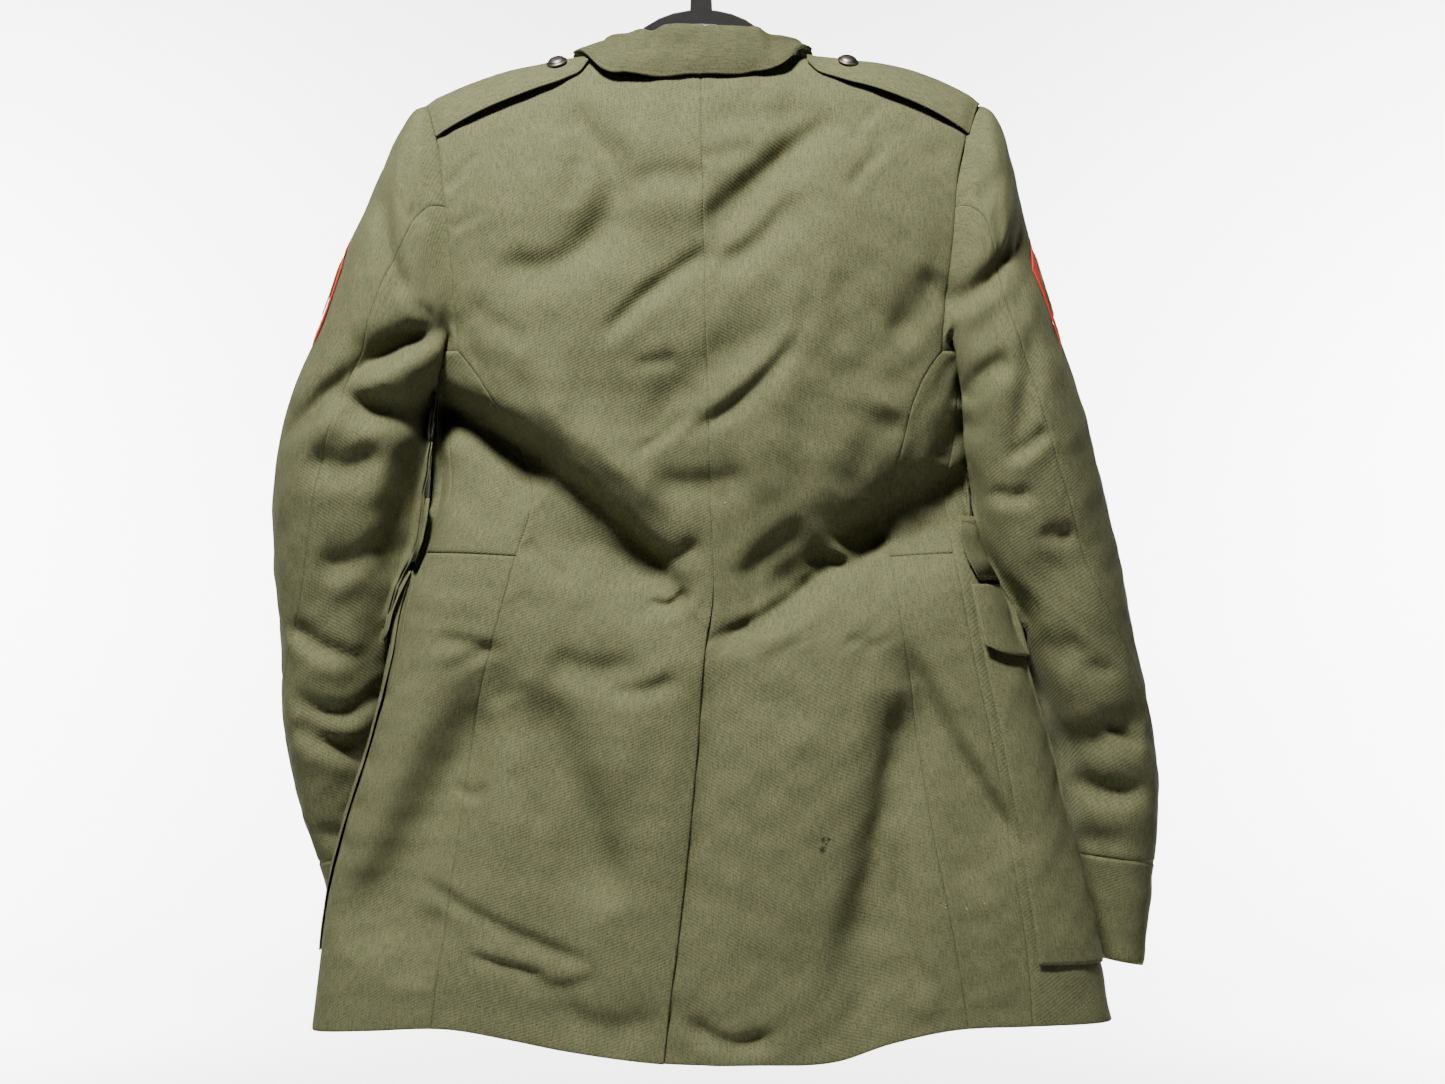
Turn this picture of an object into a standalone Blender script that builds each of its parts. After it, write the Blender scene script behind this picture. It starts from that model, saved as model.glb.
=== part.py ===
"""Military dress jacket on a thin hanger, with its back to -Y, the wearer's left at -X and +Z up.

All sizes below are in millimetres and are made metres when a solid is made. The origin is the inner
top of the hanger's hook. The coat is one form: a plan ring at each height, closed over the shoulders
by a roll, and two arms that hang beside it. Each cut piece is a strip of that form, moved out where it
lies on another piece, with the cloth's wall inside.
"""

import math

import bpy
import numpy as np

MM = 0.001
WALL = 2.0  # cloth with its lining and canvas
THIN = 1.0  # flaps, patches and chevrons
SEAM = 0.3  # space between two sewn pieces
REST = 0.35  # space under a piece that lies on another
RIDGE_GAP = 0.2  # half the space at the shoulder seams
UNDER = 2.9  # how far an underlap sinks below the piece over it

CHEST = -330.0  # level of the armholes' lowest point
WAIST = -487.0  # level of the short waist seams
HEM_LEVEL = -850.0
VENT_TOP = -539.0
ROLL = 110.0  # height in which the shoulder rolls over into the back
SQUARE_BACK = 2.5  # 2 is an ellipse in plan, more is squarer
SQUARE_FRONT = 2.15
SQUARE_ARM = 2.15

UPPER_ROWS = 10
WAIST_ROWS = 5
SKIRT_ROWS = 11
BACK_COLUMNS = 10
FRONT_COLUMNS = 7
WRAP_COLUMNS = 5
SIDE_REACH = 55.0  # how far a radian of the ring reaches at the side seams
SIDE_COLUMNS = 3
ARM_ROWS = 19
ARM_COLUMNS = 8
CUFF_ROWS = 2


def table(columns, rows):
    """A short table as named arrays, one for each column."""
    data = np.array(rows, float)
    return {name: data[:, i] for i, name in enumerate(columns.split())}


# Plan rings: half-widths left and right, how far back and front lie from the middle plane, and where
# the widest line lies, behind it below zero.
BODY = table("level left right back front widest", [
    (-90, 242, 242, 54, 50, 0),
    (-141, 240, 240, 58, 54, 0),
    (-200, 236, 236, 68, 62, 0),
    (-260, 226, 226, 76, 70, 0),
    (-330, 207, 207, 79, 76, 0),
    (-400, 207, 206, 75, 77, 0),
    (-450, 209, 208, 68, 74, -2),
    (-482, 215, 213, 65, 72, -5),
    (-516, 229, 230, 68, 76, -9),
    (-565, 236, 244, 75, 77, -14),
    (-625, 249, 260, 82, 74, -20),
    (-693, 270, 277, 87, 70, -25),
    (-757, 287, 293, 90, 67, -28),
    (-805, 295, 305, 92, 65, -29),
    (-865, 302, 317, 93, 64, -30),
])
# Top line of the shoulders across the coat.
RIDGE = table("across height", [
    (-240, -160),
    (-212, -142),
    (-190, -131),
    (-168, -123),
    (-120, -110),
    (-74, -98),
    (-40, -89),
    (0, -85),
    (40, -90),
    (77, -100),
    (112, -106),
    (147, -114),
    (185, -127),
    (218, -144),
    (240, -160),
])
NECK = table("across height", [(0, -106), (30, -105), (55, -102), (70, -99.5), (76, -98.5)])
# Side-back seam: where the back pieces end below the armholes.
BACK_EDGE = table("level left right", [
    (-330, -184, 184),
    (-345, -172, 173),
    (-365, -159, 163),
    (-405, -140, 153),
    (-446, -130, 146),
    (-492, -141, 146),
    (-524, -149, 150),
    (-586, -165, 160),
    (-640, -176, 168),
    (-728, -187, 181),
    (-810, -196, 195),
    (-865, -202, 203),
])
ARMHOLE = table("level left right", [
    (-141, -212, 218),
    (-158, -206, 207),
    (-178, -200, 202),
    (-200, -197, 197),
    (-250, -191, 192),
    (-285, -188, 188),
    (-330, -184, 184),
])
SIDE_EDGE = table("level left right", [
    (-330, -199, 199),
    (-400, -196, 194),
    (-443, -193, 188),
    (-470, -204, 191),
    (-500, -218, 196),
    (-530, -225, 201),
    (-565, -230, 207),
    (-625, -246, 219),
    (-680, -262, 229),
    (-740, -280, 238),
    (-800, -293, 246),
    (-865, -300, 250),
])
# Centre seam, and below the vent's top the edge of the left piece.
CENTRE = table("level across", [
    (-100, 0),
    (-295, 4),
    (-440, 8),
    (-518, 9),
    (-545, 4.5),
    (-625, -2),
    (-687, -8),
    (-750, -15),
    (-804, -22),
    (-865, -28.5),
])
VENT_LAP = table("level lap", [(-536, 0), (-541, 4), (-556, 30), (-600, 36), (-865, 38)])
# Roll line of the lapels, then the lapped front edges, for the left and the right front.
FRONT_EDGE = table("level left right", [
    (-98, -76, 76),
    (-112, -68, 68),
    (-150, -56, 56),
    (-200, -43, 43),
    (-260, -27, 27),
    (-310, -11, 12),
    (-335, 2, 0),
    (-350, 13, -12),
    (-368, 20, -20),
    (-420, 21, -21),
    (-865, 21, -21),
])
CORNER = table("level across", [(-330, 184), (-400, 180), (-480, 184), (-565, 206), (-865, 262)])
HEM = table("across back front", [
    (-305, -852, -852),
    (-250, -846, -850),
    (-186, -840, -849),
    (-141, -846, -849),
    (-100, -853, -850),
    (-30, -861, -851),
    (40, -861, -851),
    (105, -858, -850),
    (142, -846, -847),
    (184, -838, -845),
    (250, -837, -842),
    (318, -838, -838),
])
# Arms: outer and inner rail seen from behind, the middle in depth and half the depth.
ARM_COLUMN_NAMES = "along outer outer_z inner inner_z middle half turn"
ARM = {
    -1: table(ARM_COLUMN_NAMES, [
        (0, -213, -142, -186, -328, 0, 50, 0),
        (1, -230, -153, -188, -329, -1, 57, 0),
        (2, -248, -188, -190, -336, -1, 62, 0),
        (3, -273, -241, -193, -345, 0, 66, 0),
        (4, -293, -303, -196, -362, 2, 69, 0),
        (5, -315, -365, -200, -388, 4, 70, 0),
        (6, -327, -427, -211, -436, 8, 68, 0),
        (7, -328, -489, -226, -491, 14, 65, 3),
        (8, -323, -551, -236, -549, 22, 62, 7),
        (9, -321, -613, -244, -609, 32, 60, 12),
        (10, -309, -675, -245, -668, 46, 58, 16),
        (11, -292, -737, -232, -728, 60, 57, 20),
        (12, -279, -806, -222, -797, 70, 56, 22),
    ]),
    1: table(ARM_COLUMN_NAMES, [
        (0, 219, -143, 185, -328, 0, 50, 0),
        (1, 232, -154, 187, -329, -1, 57, 0),
        (2, 244, -190, 189, -336, -1, 62, 0),
        (3, 256, -241, 191, -345, 0, 66, 0),
        (4, 275, -303, 193, -362, 2, 69, 0),
        (5, 295, -365, 196, -390, 4, 70, 0),
        (6, 310, -427, 204, -436, 8, 68, 0),
        (7, 324, -489, 218, -491, 14, 65, 3),
        (8, 336, -551, 240, -549, 22, 62, 7),
        (9, 347, -613, 258, -609, 32, 60, 12),
        (10, 352, -675, 274, -668, 42, 58, 16),
        (11, 346, -737, 282, -728, 52, 57, 20),
        (12, 339, -808, 284, -797, 60, 57, 22),
    ]),
}
CUFF_FROM = 10.85
ARM_ROOM = 4.4  # least space between an arm and the body, more beside the pockets
ARM_SEAM = table("along back front", [
    (0, 84, 256),
    (3, 78, 256),
    (6, 74, 256),
    (7.5, 67, 256),
    (8, 57, 256),
    (9, 38, 256),
    (10, 16, 256),
    (12, 12, 256),
])
# Main folds seen from behind: from and to (across, height), sideways bend, half-width, depth.
FOLDS = table("x0 z0 x1 z1 bend width depth", [
    (177, -409, 30, -511, 0.05, 20, 11),
    (-194, -361, -22, -516, -0.06, 18, 10),
    (-104, -150, -119, -261, 0.45, 15, 7),
    (75, -152, -45, -300, 0.08, 17, 6),
    (72, -307, -45, -407, -0.10, 15, 6),
    (-170, -595, -225, -800, 0.05, 26, 10),
    (153, -585, 105, -860, 0.06, 24, 10),
    (153, -585, 226, -740, -0.08, 22, 9),
    (-207, -316, -272, -330, 0.10, 14, 9),
    (-215, -380, -300, -560, 0.08, 24, 8),
    (190, -330, 255, -225, -0.10, 18, 7),
    (238, -560, 300, -470, 0.08, 20, 6),
    (290, -640, 345, -620, 0.15, 16, 9),
])
FACING = 0.45  # how squarely a face looks back before a fold shows in full

# The collar: seam on the neckline, crest and outer edge as places on the shoulders' form.
COLLAR = table("along seam_x seam_q stand edge_x edge_q", [
    (0.0, 0, -46, 24, 0, -67),
    (0.22, 34, -39, 22, 40, -62),
    (0.4, 60, -20, 17, 70, -40),
    (0.5, 71, -6, 14, 86, -6),
    (0.6, 72, 8, 12, 93, 16),
    (0.8, 66, 34, 9, 99, 45),
    (1.0, 57, 60, 4, 100, 74),
])
COLLAR_ROWS = 24
COLLAR_LIFT = 9.0  # outside of the fall's edge above the shoulders, with the straps under it
COLLAR_SHIFT = -6.0  # the fall has slipped to the left
NECK_SHIFT = 3.5  # the neck sits a little to the right
LAPEL = table("level outer", [
    (-150, 62),
    (-166, 100),
    (-180, 121),
    (-188, 120),
    (-250, 86),
    (-300, 48),
    (-331, 14),
])
STRAP = table("along across back front lift", [
    (0.0, 210.5, -45, 16, 2.2),
    (0.12, 201, -45, 16, 2.8),
    (0.35, 168, -44, 15, 4.5),
    (0.65, 128, -40, 12, 4.2),
    (0.85, 102, -35, 9, 1.9),
    (0.94, 91, -30, 5, 1.2),
    (1.0, 85, -20, -6, 1.5),
])
STRAP_ROWS = 10
STRAP_COLUMNS = 6
STRAP_SLANT = 0.24  # its outer end follows the armhole
STRAP_WALL = 1.6
STRAP_BUTTON = 0.79
POCKET_TOP = -512.0
POCKET_BOTTOM = -797.0
POCKET_WIDE = 192.0
FLAP_DEEP = 56.0
POCKET_COLUMNS = 12
POCKET_LIFT = 2.7  # outside of the patch above the front piece at its edges
SIDE_TILT = -0.024  # waist pieces hang lower to the right
BELT_LEVEL = -476.0
BELT_WIDE = 50.0
BELT_TILT = -0.034
BELT_ROOM = 2.5

BUTTONS = table("x level radius", [(8, -352, 11), (8, -412, 11), (8, -546, 11), (8, -604, 11)])
DOME = table("out up", [(1.0, 0.0), (1.0, 0.16), (0.86, 0.38), (0.5, 0.52), (0.0, 0.56)])
BUTTON_SIDES = 14

HOOK_RADIUS = 21.0  # to the middle of the wire
WIRE = 1.8
HOOK_STEPS = 22
WIRE_SIDES = 8
HANGER_DEEP = 6.0
HANGER_HIGH = 11.0
STUB_MIDDLE = 0.5  # a short upright at the hanger's middle, which carries the hook
STUB_HALF = 8.0
STUB_TOP = -50.0
HANGER_LINE = table("across height", [
    (-200, -144),
    (-168, -130.5),
    (-120, -117),
    (-90, -110),
    (-74, -104.5),
    (-60, -93),
    (-42, -76),
    (-22, -66.5),
    (2, -63.5),
    (25, -67),
    (44, -77),
    (60, -93),
    (74, -105),
    (92, -111),
    (120, -115),
    (147, -121),
    (185, -135),
    (203, -145),
])


def follow(rows, name, at, key=None):
    """Smooth curve through a column of a table, at the given places."""
    key = key or next(iter(rows))
    x, y = rows[key], rows[name]
    if x[0] > x[-1]:
        x, y = x[::-1], y[::-1]
    slope = np.gradient(y, x)
    at = np.clip(at, x[0], x[-1])
    i = np.clip(np.searchsorted(x, at) - 1, 0, len(x) - 2)
    step = x[i + 1] - x[i]
    t = (at - x[i]) / step
    rise = (3 - 2 * t) * t * t
    first = ((t - 2) * t + 1) * t * step * slope[i]
    second = (t - 1) * t * t * step * slope[i + 1]
    return y[i] * (1 - rise) + y[i + 1] * rise + first + second


def ease(value, low, high):
    """0 below low, 1 above high, and smooth between."""
    t = np.clip((value - low) / (high - low), 0, 1)
    return t * t * (3 - 2 * t)


def sided(rows, side, level):
    """The left or the right column of a table."""
    return follow(rows, "left" if side < 0 else "right", level)


def power(value, exponent):
    return np.sign(value) * np.abs(value) ** exponent


def half_width(x, level):
    return np.where(x < 0, follow(BODY, "left", level), follow(BODY, "right", level))


def depth(x, level, front):
    """How far the coat lies from its widest line, at the front or the back."""
    square = SQUARE_FRONT if front else SQUARE_BACK
    deep = follow(BODY, "front" if front else "back", level)
    deep = deep - (1 if front else -1) * follow(BODY, "widest", level)
    inside = np.clip(1 - np.abs(x / half_width(x, level)) ** square, 0, 1)
    below = np.clip((follow(RIDGE, "height", x) - level) / ROLL, 0, 1)
    return deep * inside ** (1 / square) * np.sqrt(1 - (1 - below) ** 2)


def hem_shift(x, level, front):
    """How much lower or higher than its level a place hangs, which grows down to the hem."""
    share = np.clip((level - CHEST) / (HEM_LEVEL - CHEST), 0, 1.1)
    return (follow(HEM, "front" if front else "back", x) - HEM_LEVEL) * share


def unit(vectors):
    return vectors / np.maximum(np.linalg.norm(vectors, axis=-1, keepdims=True), 1e-9)


def face(x, level, front):
    """Places on the coat's front or back, and the way out of it there."""
    x, level = np.broadcast_arrays(np.asarray(x, float), np.asarray(level, float))
    step = 0.5
    deep = depth(x, level, front)
    by_x = (depth(x + step, level, front) - depth(x - step, level, front)) / (2 * step)
    by_z = (depth(x, level + step, front) - depth(x, level - step, front)) / (2 * step)
    by_z = by_z * ease(level, CHEST, CHEST + 80)
    way = 1 if front else -1
    y = follow(BODY, "widest", level) + way * (deep + RIDGE_GAP)
    place = np.stack([x, y, level + hem_shift(x, level, front)], -1)
    flat = unit(np.stack([-by_x, np.full_like(x, way), -by_z], -1))
    over = ease(follow(RIDGE, "height", x) - level, 0, 4)
    return place, unit(flat * np.stack([0 * x + 1, over, 0 * x + 1], -1))


def back_angle(x, level):
    """The ring's angle from the centre back to a place on the back."""
    return np.arcsin(np.clip(np.abs(x) / half_width(x, level), 0, 0.999) ** (SQUARE_BACK / 2))


def front_angle(x, level):
    share = np.clip(np.abs(x) / half_width(x, level), 0, 0.999)
    return math.pi - np.arcsin(share ** (SQUARE_FRONT / 2))


def ring(side, angle, level):
    """Places round the coat below the armholes, by the angle from the centre back."""
    angle, level = np.broadcast_arrays(np.asarray(angle, float), np.asarray(level, float))
    wide = sided(BODY, side, level)
    front = angle > math.pi / 2
    square = np.where(front, SQUARE_FRONT, SQUARE_BACK)
    middle = follow(BODY, "widest", level)
    deep = np.where(front, follow(BODY, "front", level) - middle, follow(BODY, "back", level) + middle)
    out, away = np.sin(angle), -np.cos(angle)
    x = side * wide * np.abs(out) ** (2 / square)
    y = deep * power(away, 2 / square)
    shift = np.where(front, hem_shift(x, level, True), hem_shift(x, level, False))
    way_x = side * np.abs(x / wide) ** (square - 1) / wide
    way_y = np.sign(away) * np.abs(y / deep) ** (square - 1) / deep
    y = y + middle + RIDGE_GAP * np.sign(away) * (1 - np.abs(out))
    return np.stack([x, y, level + shift], -1), unit(np.stack([way_x, way_y, 0 * x], -1))


def round_the_ring(side, angle, level, length):
    """The angle that lies a length forward along the ring."""
    steps = np.linspace(0.0, math.pi - 0.02, 400)
    places, _ = ring(side, steps[None, :], np.asarray(level)[:, None])
    far = np.cumsum(np.linalg.norm(np.diff(places, axis=1), axis=2), axis=1)
    far = np.concatenate([np.zeros((len(far), 1)), far], axis=1)
    return np.array([
        np.interp(np.interp(a, steps, row) + length, row, steps) for a, row in zip(angle, far)
    ])


def fold_depth(x, z):
    """How far the folds take the cloth in, seen from behind."""
    x, z = np.broadcast_arrays(np.asarray(x, float), np.asarray(z, float))
    total = np.zeros(x.shape)
    steps = np.linspace(0, 1, 15)
    for i in range(len(FOLDS["x0"])):
        x0, z0, x1, z1, bend, width, deep = (FOLDS[name][i] for name in FOLDS)
        middle_x = (x0 + x1) / 2 - bend * (z1 - z0) * 2
        middle_z = (z0 + z1) / 2 + bend * (x1 - x0) * 2
        line_x = (1 - steps) ** 2 * x0 + 2 * steps * (1 - steps) * middle_x + steps**2 * x1
        line_z = (1 - steps) ** 2 * z0 + 2 * steps * (1 - steps) * middle_z + steps**2 * z1
        nearest = np.full(x.shape, 1e9)
        where = np.zeros(x.shape)
        for k in range(len(steps) - 1):
            run_x, run_z = line_x[k + 1] - line_x[k], line_z[k + 1] - line_z[k]
            t = ((x - line_x[k]) * run_x + (z - line_z[k]) * run_z) / (run_x**2 + run_z**2)
            t = np.clip(t, 0, 1)
            gap = np.hypot(x - line_x[k] - t * run_x, z - line_z[k] - t * run_z)
            where = np.where(gap < nearest, (k + t) / (len(steps) - 1), where)
            nearest = np.minimum(gap, nearest)
        fade = ease(where, -0.05, 0.3) * ease(1 - where, -0.05, 0.3)
        total += deep * fade * np.exp(-((nearest / width) ** 2))
    return total


def folded(place, way, lift=0.0):
    """The places moved in by the folds and out by the lift."""
    facing = ease(-way[..., 1], 0.05, FACING)
    deep = fold_depth(place[..., 0], place[..., 2]) * facing
    return place + way * (lift - deep)[..., None]


def shell(name, place, way, wall, paint, around=False, present=None):
    """One closed solid from a grid of outer places: the wall lies inside them."""
    rows, columns = place.shape[:2]
    outer = place.reshape(-1, 3)
    points = np.concatenate([outer, outer - way.reshape(-1, 3) * wall])
    inside = rows * columns
    cells = []
    for r in range(rows - 1):
        for c in range(columns if around else columns - 1):
            d = (c + 1) % columns
            if present is None or present[r, c]:
                first, second = r * columns, (r + 1) * columns
                cells.append((first + c, first + d, second + d, second + c))
    edges = {}
    for cell in cells:
        for a, b in zip(cell, cell[1:] + cell[:1]):
            edges[a, b] = edges.get((a, b), 0) + 1
    faces = list(cells)
    faces += [tuple(inside + v for v in reversed(cell)) for cell in cells]
    faces += [(b, a, a + inside, b + inside) for a, b in edges if (b, a) not in edges]
    return solid(name, points, faces, paint)


def solid(name, points, faces, paint, smooth=True):
    """A named object from points in millimetres, with its faces turned out."""
    used = sorted({v for f in faces for v in f})
    number = {v: i for i, v in enumerate(used)}
    points = np.asarray(points)[used]
    faces = [tuple(number[v] for v in f) for f in faces]
    volume = 0.0
    for f in faces:
        for k in range(1, len(f) - 1):
            volume += float(np.dot(points[f[0]], np.cross(points[f[k]], points[f[k + 1]])))
    if volume < 0:
        faces = [tuple(reversed(f)) for f in faces]
    mesh = bpy.data.meshes.new(name)
    mesh.from_pydata([tuple(float(v) * MM for v in p) for p in points], [], faces)
    mesh.polygons.foreach_set("use_smooth", [smooth] * len(mesh.polygons))
    mesh.materials.append(paint)
    mesh.update()
    thing = bpy.data.objects.new(name, mesh)
    bpy.context.scene.collection.objects.link(thing)
    return thing


def side_name(side):
    return "left" if side < 0 else "right"


def upper_steps(rows=UPPER_ROWS):
    """Shares of the way down from the shoulder to the chest, close together at the top."""
    return (np.arange(rows + 1) / rows) ** 1.75


def lower_levels():
    """Levels below the chest, with one at the waist seam."""
    first = np.linspace(CHEST, WAIST, WAIST_ROWS + 1)
    return np.concatenate([first, np.linspace(WAIST, HEM_LEVEL, SKIRT_ROWS + 1)[1:]])


def back_inner(side, level):
    """Where a back piece begins at the centre: the right one runs on under the vent."""
    across = follow(CENTRE, "across", level) + side * SEAM / 2
    return across - np.interp(-level, -VENT_LAP["level"], VENT_LAP["lap"]) * (side > 0)


def back_grid(side, columns=BACK_COLUMNS):
    """The back piece on one side, with its way out and the sunk vent lap."""
    share = np.linspace(0, 1, columns + 1)[None, :]
    steps = upper_steps()[:, None]
    tip = sided(ARMHOLE, side, -141.0)
    top_x = side * SEAM / 2 + share * (tip - side * SEAM / 2)
    neck = follow(NECK, "height", np.abs(top_x))
    top = np.where(np.abs(top_x) < NECK["across"][-1], neck, follow(RIDGE, "height", top_x))
    inner = back_inner(side, top[:, :1] + (CHEST - top[:, :1]) * steps)
    outer = sided(ARMHOLE, side, top[:, -1:] + (CHEST - top[:, -1:]) * steps)
    x = inner + share * (outer - side * SEAM / 2 - inner)
    edge = np.where(np.abs(x) < NECK["across"][-1], follow(NECK, "height", np.abs(x)),
                    follow(RIDGE, "height", x))
    level = edge + (CHEST - edge) * steps
    low = lower_levels()[1:, None]
    low_x = back_inner(side, low)
    low_x = low_x + share * (sided(BACK_EDGE, side, low) - side * SEAM / 2 - low_x)
    x = np.concatenate([x, low_x])
    level = np.concatenate([level, np.broadcast_to(low, low_x.shape)])
    place, way = face(x, level, False)
    sink = np.zeros(x.shape)
    if side > 0:
        past = follow(CENTRE, "across", level) + 40 - x
        sink = UNDER * ease(past, 0, 12) * ease(-level, 480, -VENT_TOP - 4)
    return place, way, -sink


def front_grid(side):
    """The front piece, with the strip that goes on under the arm to the side seam."""
    share = np.linspace(0, 1, FRONT_COLUMNS + 1)[None, :]
    steps = upper_steps()[:, None]
    tip = sided(ARMHOLE, side, -141.0)
    top_level = np.array([[follow(RIDGE, "height", side * 76.0)]])
    inner = sided(FRONT_EDGE, side, top_level + (CHEST - top_level) * steps)
    shoulder = follow(RIDGE, "height", np.array([[tip]]))
    outer = sided(ARMHOLE, side, shoulder + (CHEST - shoulder) * steps)
    x = inner + share * (outer - side * SEAM / 2 - inner)
    edge = follow(RIDGE, "height", x)
    level = edge + (CHEST - edge) * steps
    low = lower_levels()[1:, None]
    low_in = sided(FRONT_EDGE, side, low)
    low_x = low_in + share * (side * follow(CORNER, "across", low) - low_in)
    x = np.concatenate([x, low_x])
    level = np.concatenate([level, np.broadcast_to(low, low_x.shape)])
    place, way = face(x, level, True)
    lap = ease(56 - side * x, 0, 18) * ease(-level, 262, 318) if side > 0 else 0 * x
    lift = -UNDER * lap
    last = lower_levels()[:, None]
    start = front_angle(side * follow(CORNER, "across", last), last)
    stop = back_angle(sided(SIDE_EDGE, side, last), last)
    stop = stop + SEAM / 2 / SIDE_REACH
    turn = start + np.linspace(0, 1, WRAP_COLUMNS + 1)[None, 1:] * (stop - start)
    wrap, wrap_way = ring(side, turn, last)
    blank = np.zeros((UPPER_ROWS, WRAP_COLUMNS, 3))
    place = np.concatenate([place, np.concatenate([blank, wrap])], axis=1)
    way = np.concatenate([way, np.concatenate([blank, wrap_way])], axis=1)
    lift = np.concatenate([lift, np.zeros((len(lift), WRAP_COLUMNS))], axis=1)
    present = np.ones((len(place) - 1, place.shape[1] - 1), bool)
    present[:UPPER_ROWS, FRONT_COLUMNS:] = False
    return place, way, lift, present


def side_grid(side, levels):
    """A narrow side piece between the side-back seam and the side seam."""
    level = levels[:, None]
    gap = SEAM / 2 / SIDE_REACH
    start = back_angle(sided(BACK_EDGE, side, level) + side * SEAM / 2, level)
    stop = back_angle(sided(SIDE_EDGE, side, level), level) - gap
    share = np.linspace(0, 1, SIDE_COLUMNS + 1)[None, :]
    return ring(side, start + share * (stop - start), level)


def armhole_loop(side):
    """The armhole's edge as a dense loop, and its angle about the middle of the armhole."""
    tip = sided(ARMHOLE, side, -141.0)
    top = float(follow(RIDGE, "height", tip))
    level = top + (CHEST - top) * np.linspace(0, 1, 60) ** 1.75
    across = sided(ARMHOLE, side, level)
    back, _ = face(across, level, False)
    front, _ = face(across, level, True)
    first = back_angle(np.array(across[-1]), CHEST)
    last = front_angle(np.array(across[-1]), CHEST)
    under, _ = ring(side, np.linspace(first, last, 42)[1:-1], np.full(40, CHEST))
    loop = np.concatenate([back, under, front[::-1]])
    return loop


def armhole_at(side, angle):
    """Places on the armhole's edge by the angle from its top, back first, as on a round ring."""
    loop = armhole_loop(side)
    centre = (loop[:, 2].max() + loop[:, 2].min()) / 2
    high, deep = loop[:, 2].max() - centre, loop[:, 1].max()
    turn = np.degrees(np.unwrap(np.arctan2(-loop[:, 1] / deep, (loop[:, 2] - centre) / high)))
    order = np.argsort(turn)
    angle = np.mod(angle, 360.0)
    return np.stack([np.interp(angle, turn[order], loop[order, k], period=360) for k in range(3)], -1)


def clear_of_body(place, side):
    """Arm places moved out of the coat's body where they hang beside it."""
    x, y, z = place[..., 0], place[..., 1], place[..., 2]
    wide = sided(BODY, side, z)
    middle = follow(BODY, "widest", z)
    away = y - middle
    front = away > 0
    square = np.where(front, SQUARE_FRONT, SQUARE_BACK)
    deep = np.where(front, follow(BODY, "front", z) - middle, follow(BODY, "back", z) + middle)
    room = ARM_ROOM + 4.5 * ease(-z, 395, 445) * ease(y, -60, -20)
    room = room + 6.5 * ease(38 - np.abs(z + 548), 0, 20) * ease(y, -30, 0)
    share = (np.abs(x / wide) ** square + np.abs(away / deep) ** square) ** (1 / square)
    least = 1 + room / np.minimum(wide, 1.6 * deep)
    soft = 0.018
    wanted = least + ((share - least) + np.sqrt((share - least) ** 2 + soft**2)) / 2
    scale = wanted / np.maximum(share, 0.2)
    scale = 1 + (scale - 1) * ease(-z, -CHEST - 20, -CHEST - 6)
    return np.stack([x * scale, middle + away * scale, z], -1)


def arm_places(side, along, angle):
    """Places on an arm, by the row of its table and the angle from its outer rail."""
    along, angle = np.broadcast_arrays(np.asarray(along, float), np.asarray(angle, float))
    rows = ARM[side]
    ox, oz, ix, iz, middle, half, turn = (follow(rows, name, along) for name in list(rows)[1:])
    out = power(np.cos(np.radians(angle)), 2 / SQUARE_ARM)
    back = power(np.sin(np.radians(angle)), 2 / SQUARE_ARM)
    turn = side * np.radians(turn)
    across, away = (ox - ix) / 2 * out, -half * back
    x = (ox + ix) / 2 + across * np.cos(turn) - away * np.sin(turn)
    y = middle + away * np.cos(turn) + across * np.sin(turn)
    z = (oz + iz) / 2 + (oz - iz) / 2 * out
    hanging = clear_of_body(np.stack([x, y, z], -1), side)
    start = armhole_at(side, angle) + np.array([side * 0.6, 0, 0.35])
    start[..., 0] += side * 2.0 * ease(-np.cos(np.radians(angle)), 0.0, 0.5)
    start[..., 2] += 1.3 * ease(-np.cos(np.radians(angle)), 0.3, 0.9)
    share = ease(along, -0.2, 1.6)[..., None]
    share = share - ease(0.0, -0.2, 1.6) * (1 - along / 1.6).clip(0, 1)[..., None]
    return start * (1 - share) + hanging * share


def arm(side, along, angle):
    """Arm places and the way out there."""
    place = arm_places(side, along, angle)
    run = arm_places(side, along + 0.02, angle) - arm_places(side, along - 0.02, angle)
    low = np.asarray(along) < 0.02
    if low.any():
        first = arm_places(side, along + 0.04, angle) - place
        run = np.where(low[..., None] * np.ones(3, bool), first, run)
    turn = arm_places(side, along, angle + 1.0) - arm_places(side, along, angle - 1.0)
    way = unit(np.cross(turn, run)) * side
    return place, way


def arm_grid(side, first, last, along):
    """A strip of an arm between two seams given by their angle at each row."""
    share = np.linspace(0, 1, ARM_COLUMNS + 1)[None, :]
    angle = first[:, None] + share * (last - first)[:, None]
    return arm(side, np.broadcast_to(along[:, None], angle.shape), angle)


def shoulder(x, q):
    """Places on the shoulders: q is the way along the cloth from the ridge, back below zero."""
    x, q = np.broadcast_arrays(np.asarray(x, float), np.asarray(q, float))
    drop = 130 * np.linspace(0, 1, 160) ** 2
    level = np.empty(x.shape)
    for index in np.ndindex(x.shape):
        heights = follow(RIDGE, "height", x[index]) - drop
        deep = depth(np.full(len(drop), x[index]), heights, bool(q[index] > 0))
        far = np.concatenate([[0], np.cumsum(np.hypot(np.diff(deep), np.diff(heights)))])
        level[index] = np.interp(abs(q[index]), far, heights)
    back, back_way = face(x, level, False)
    front, front_way = face(x, level, True)
    which = (q > 0)[..., None]
    return np.where(which, front, back), np.where(which, front_way, back_way)


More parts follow.
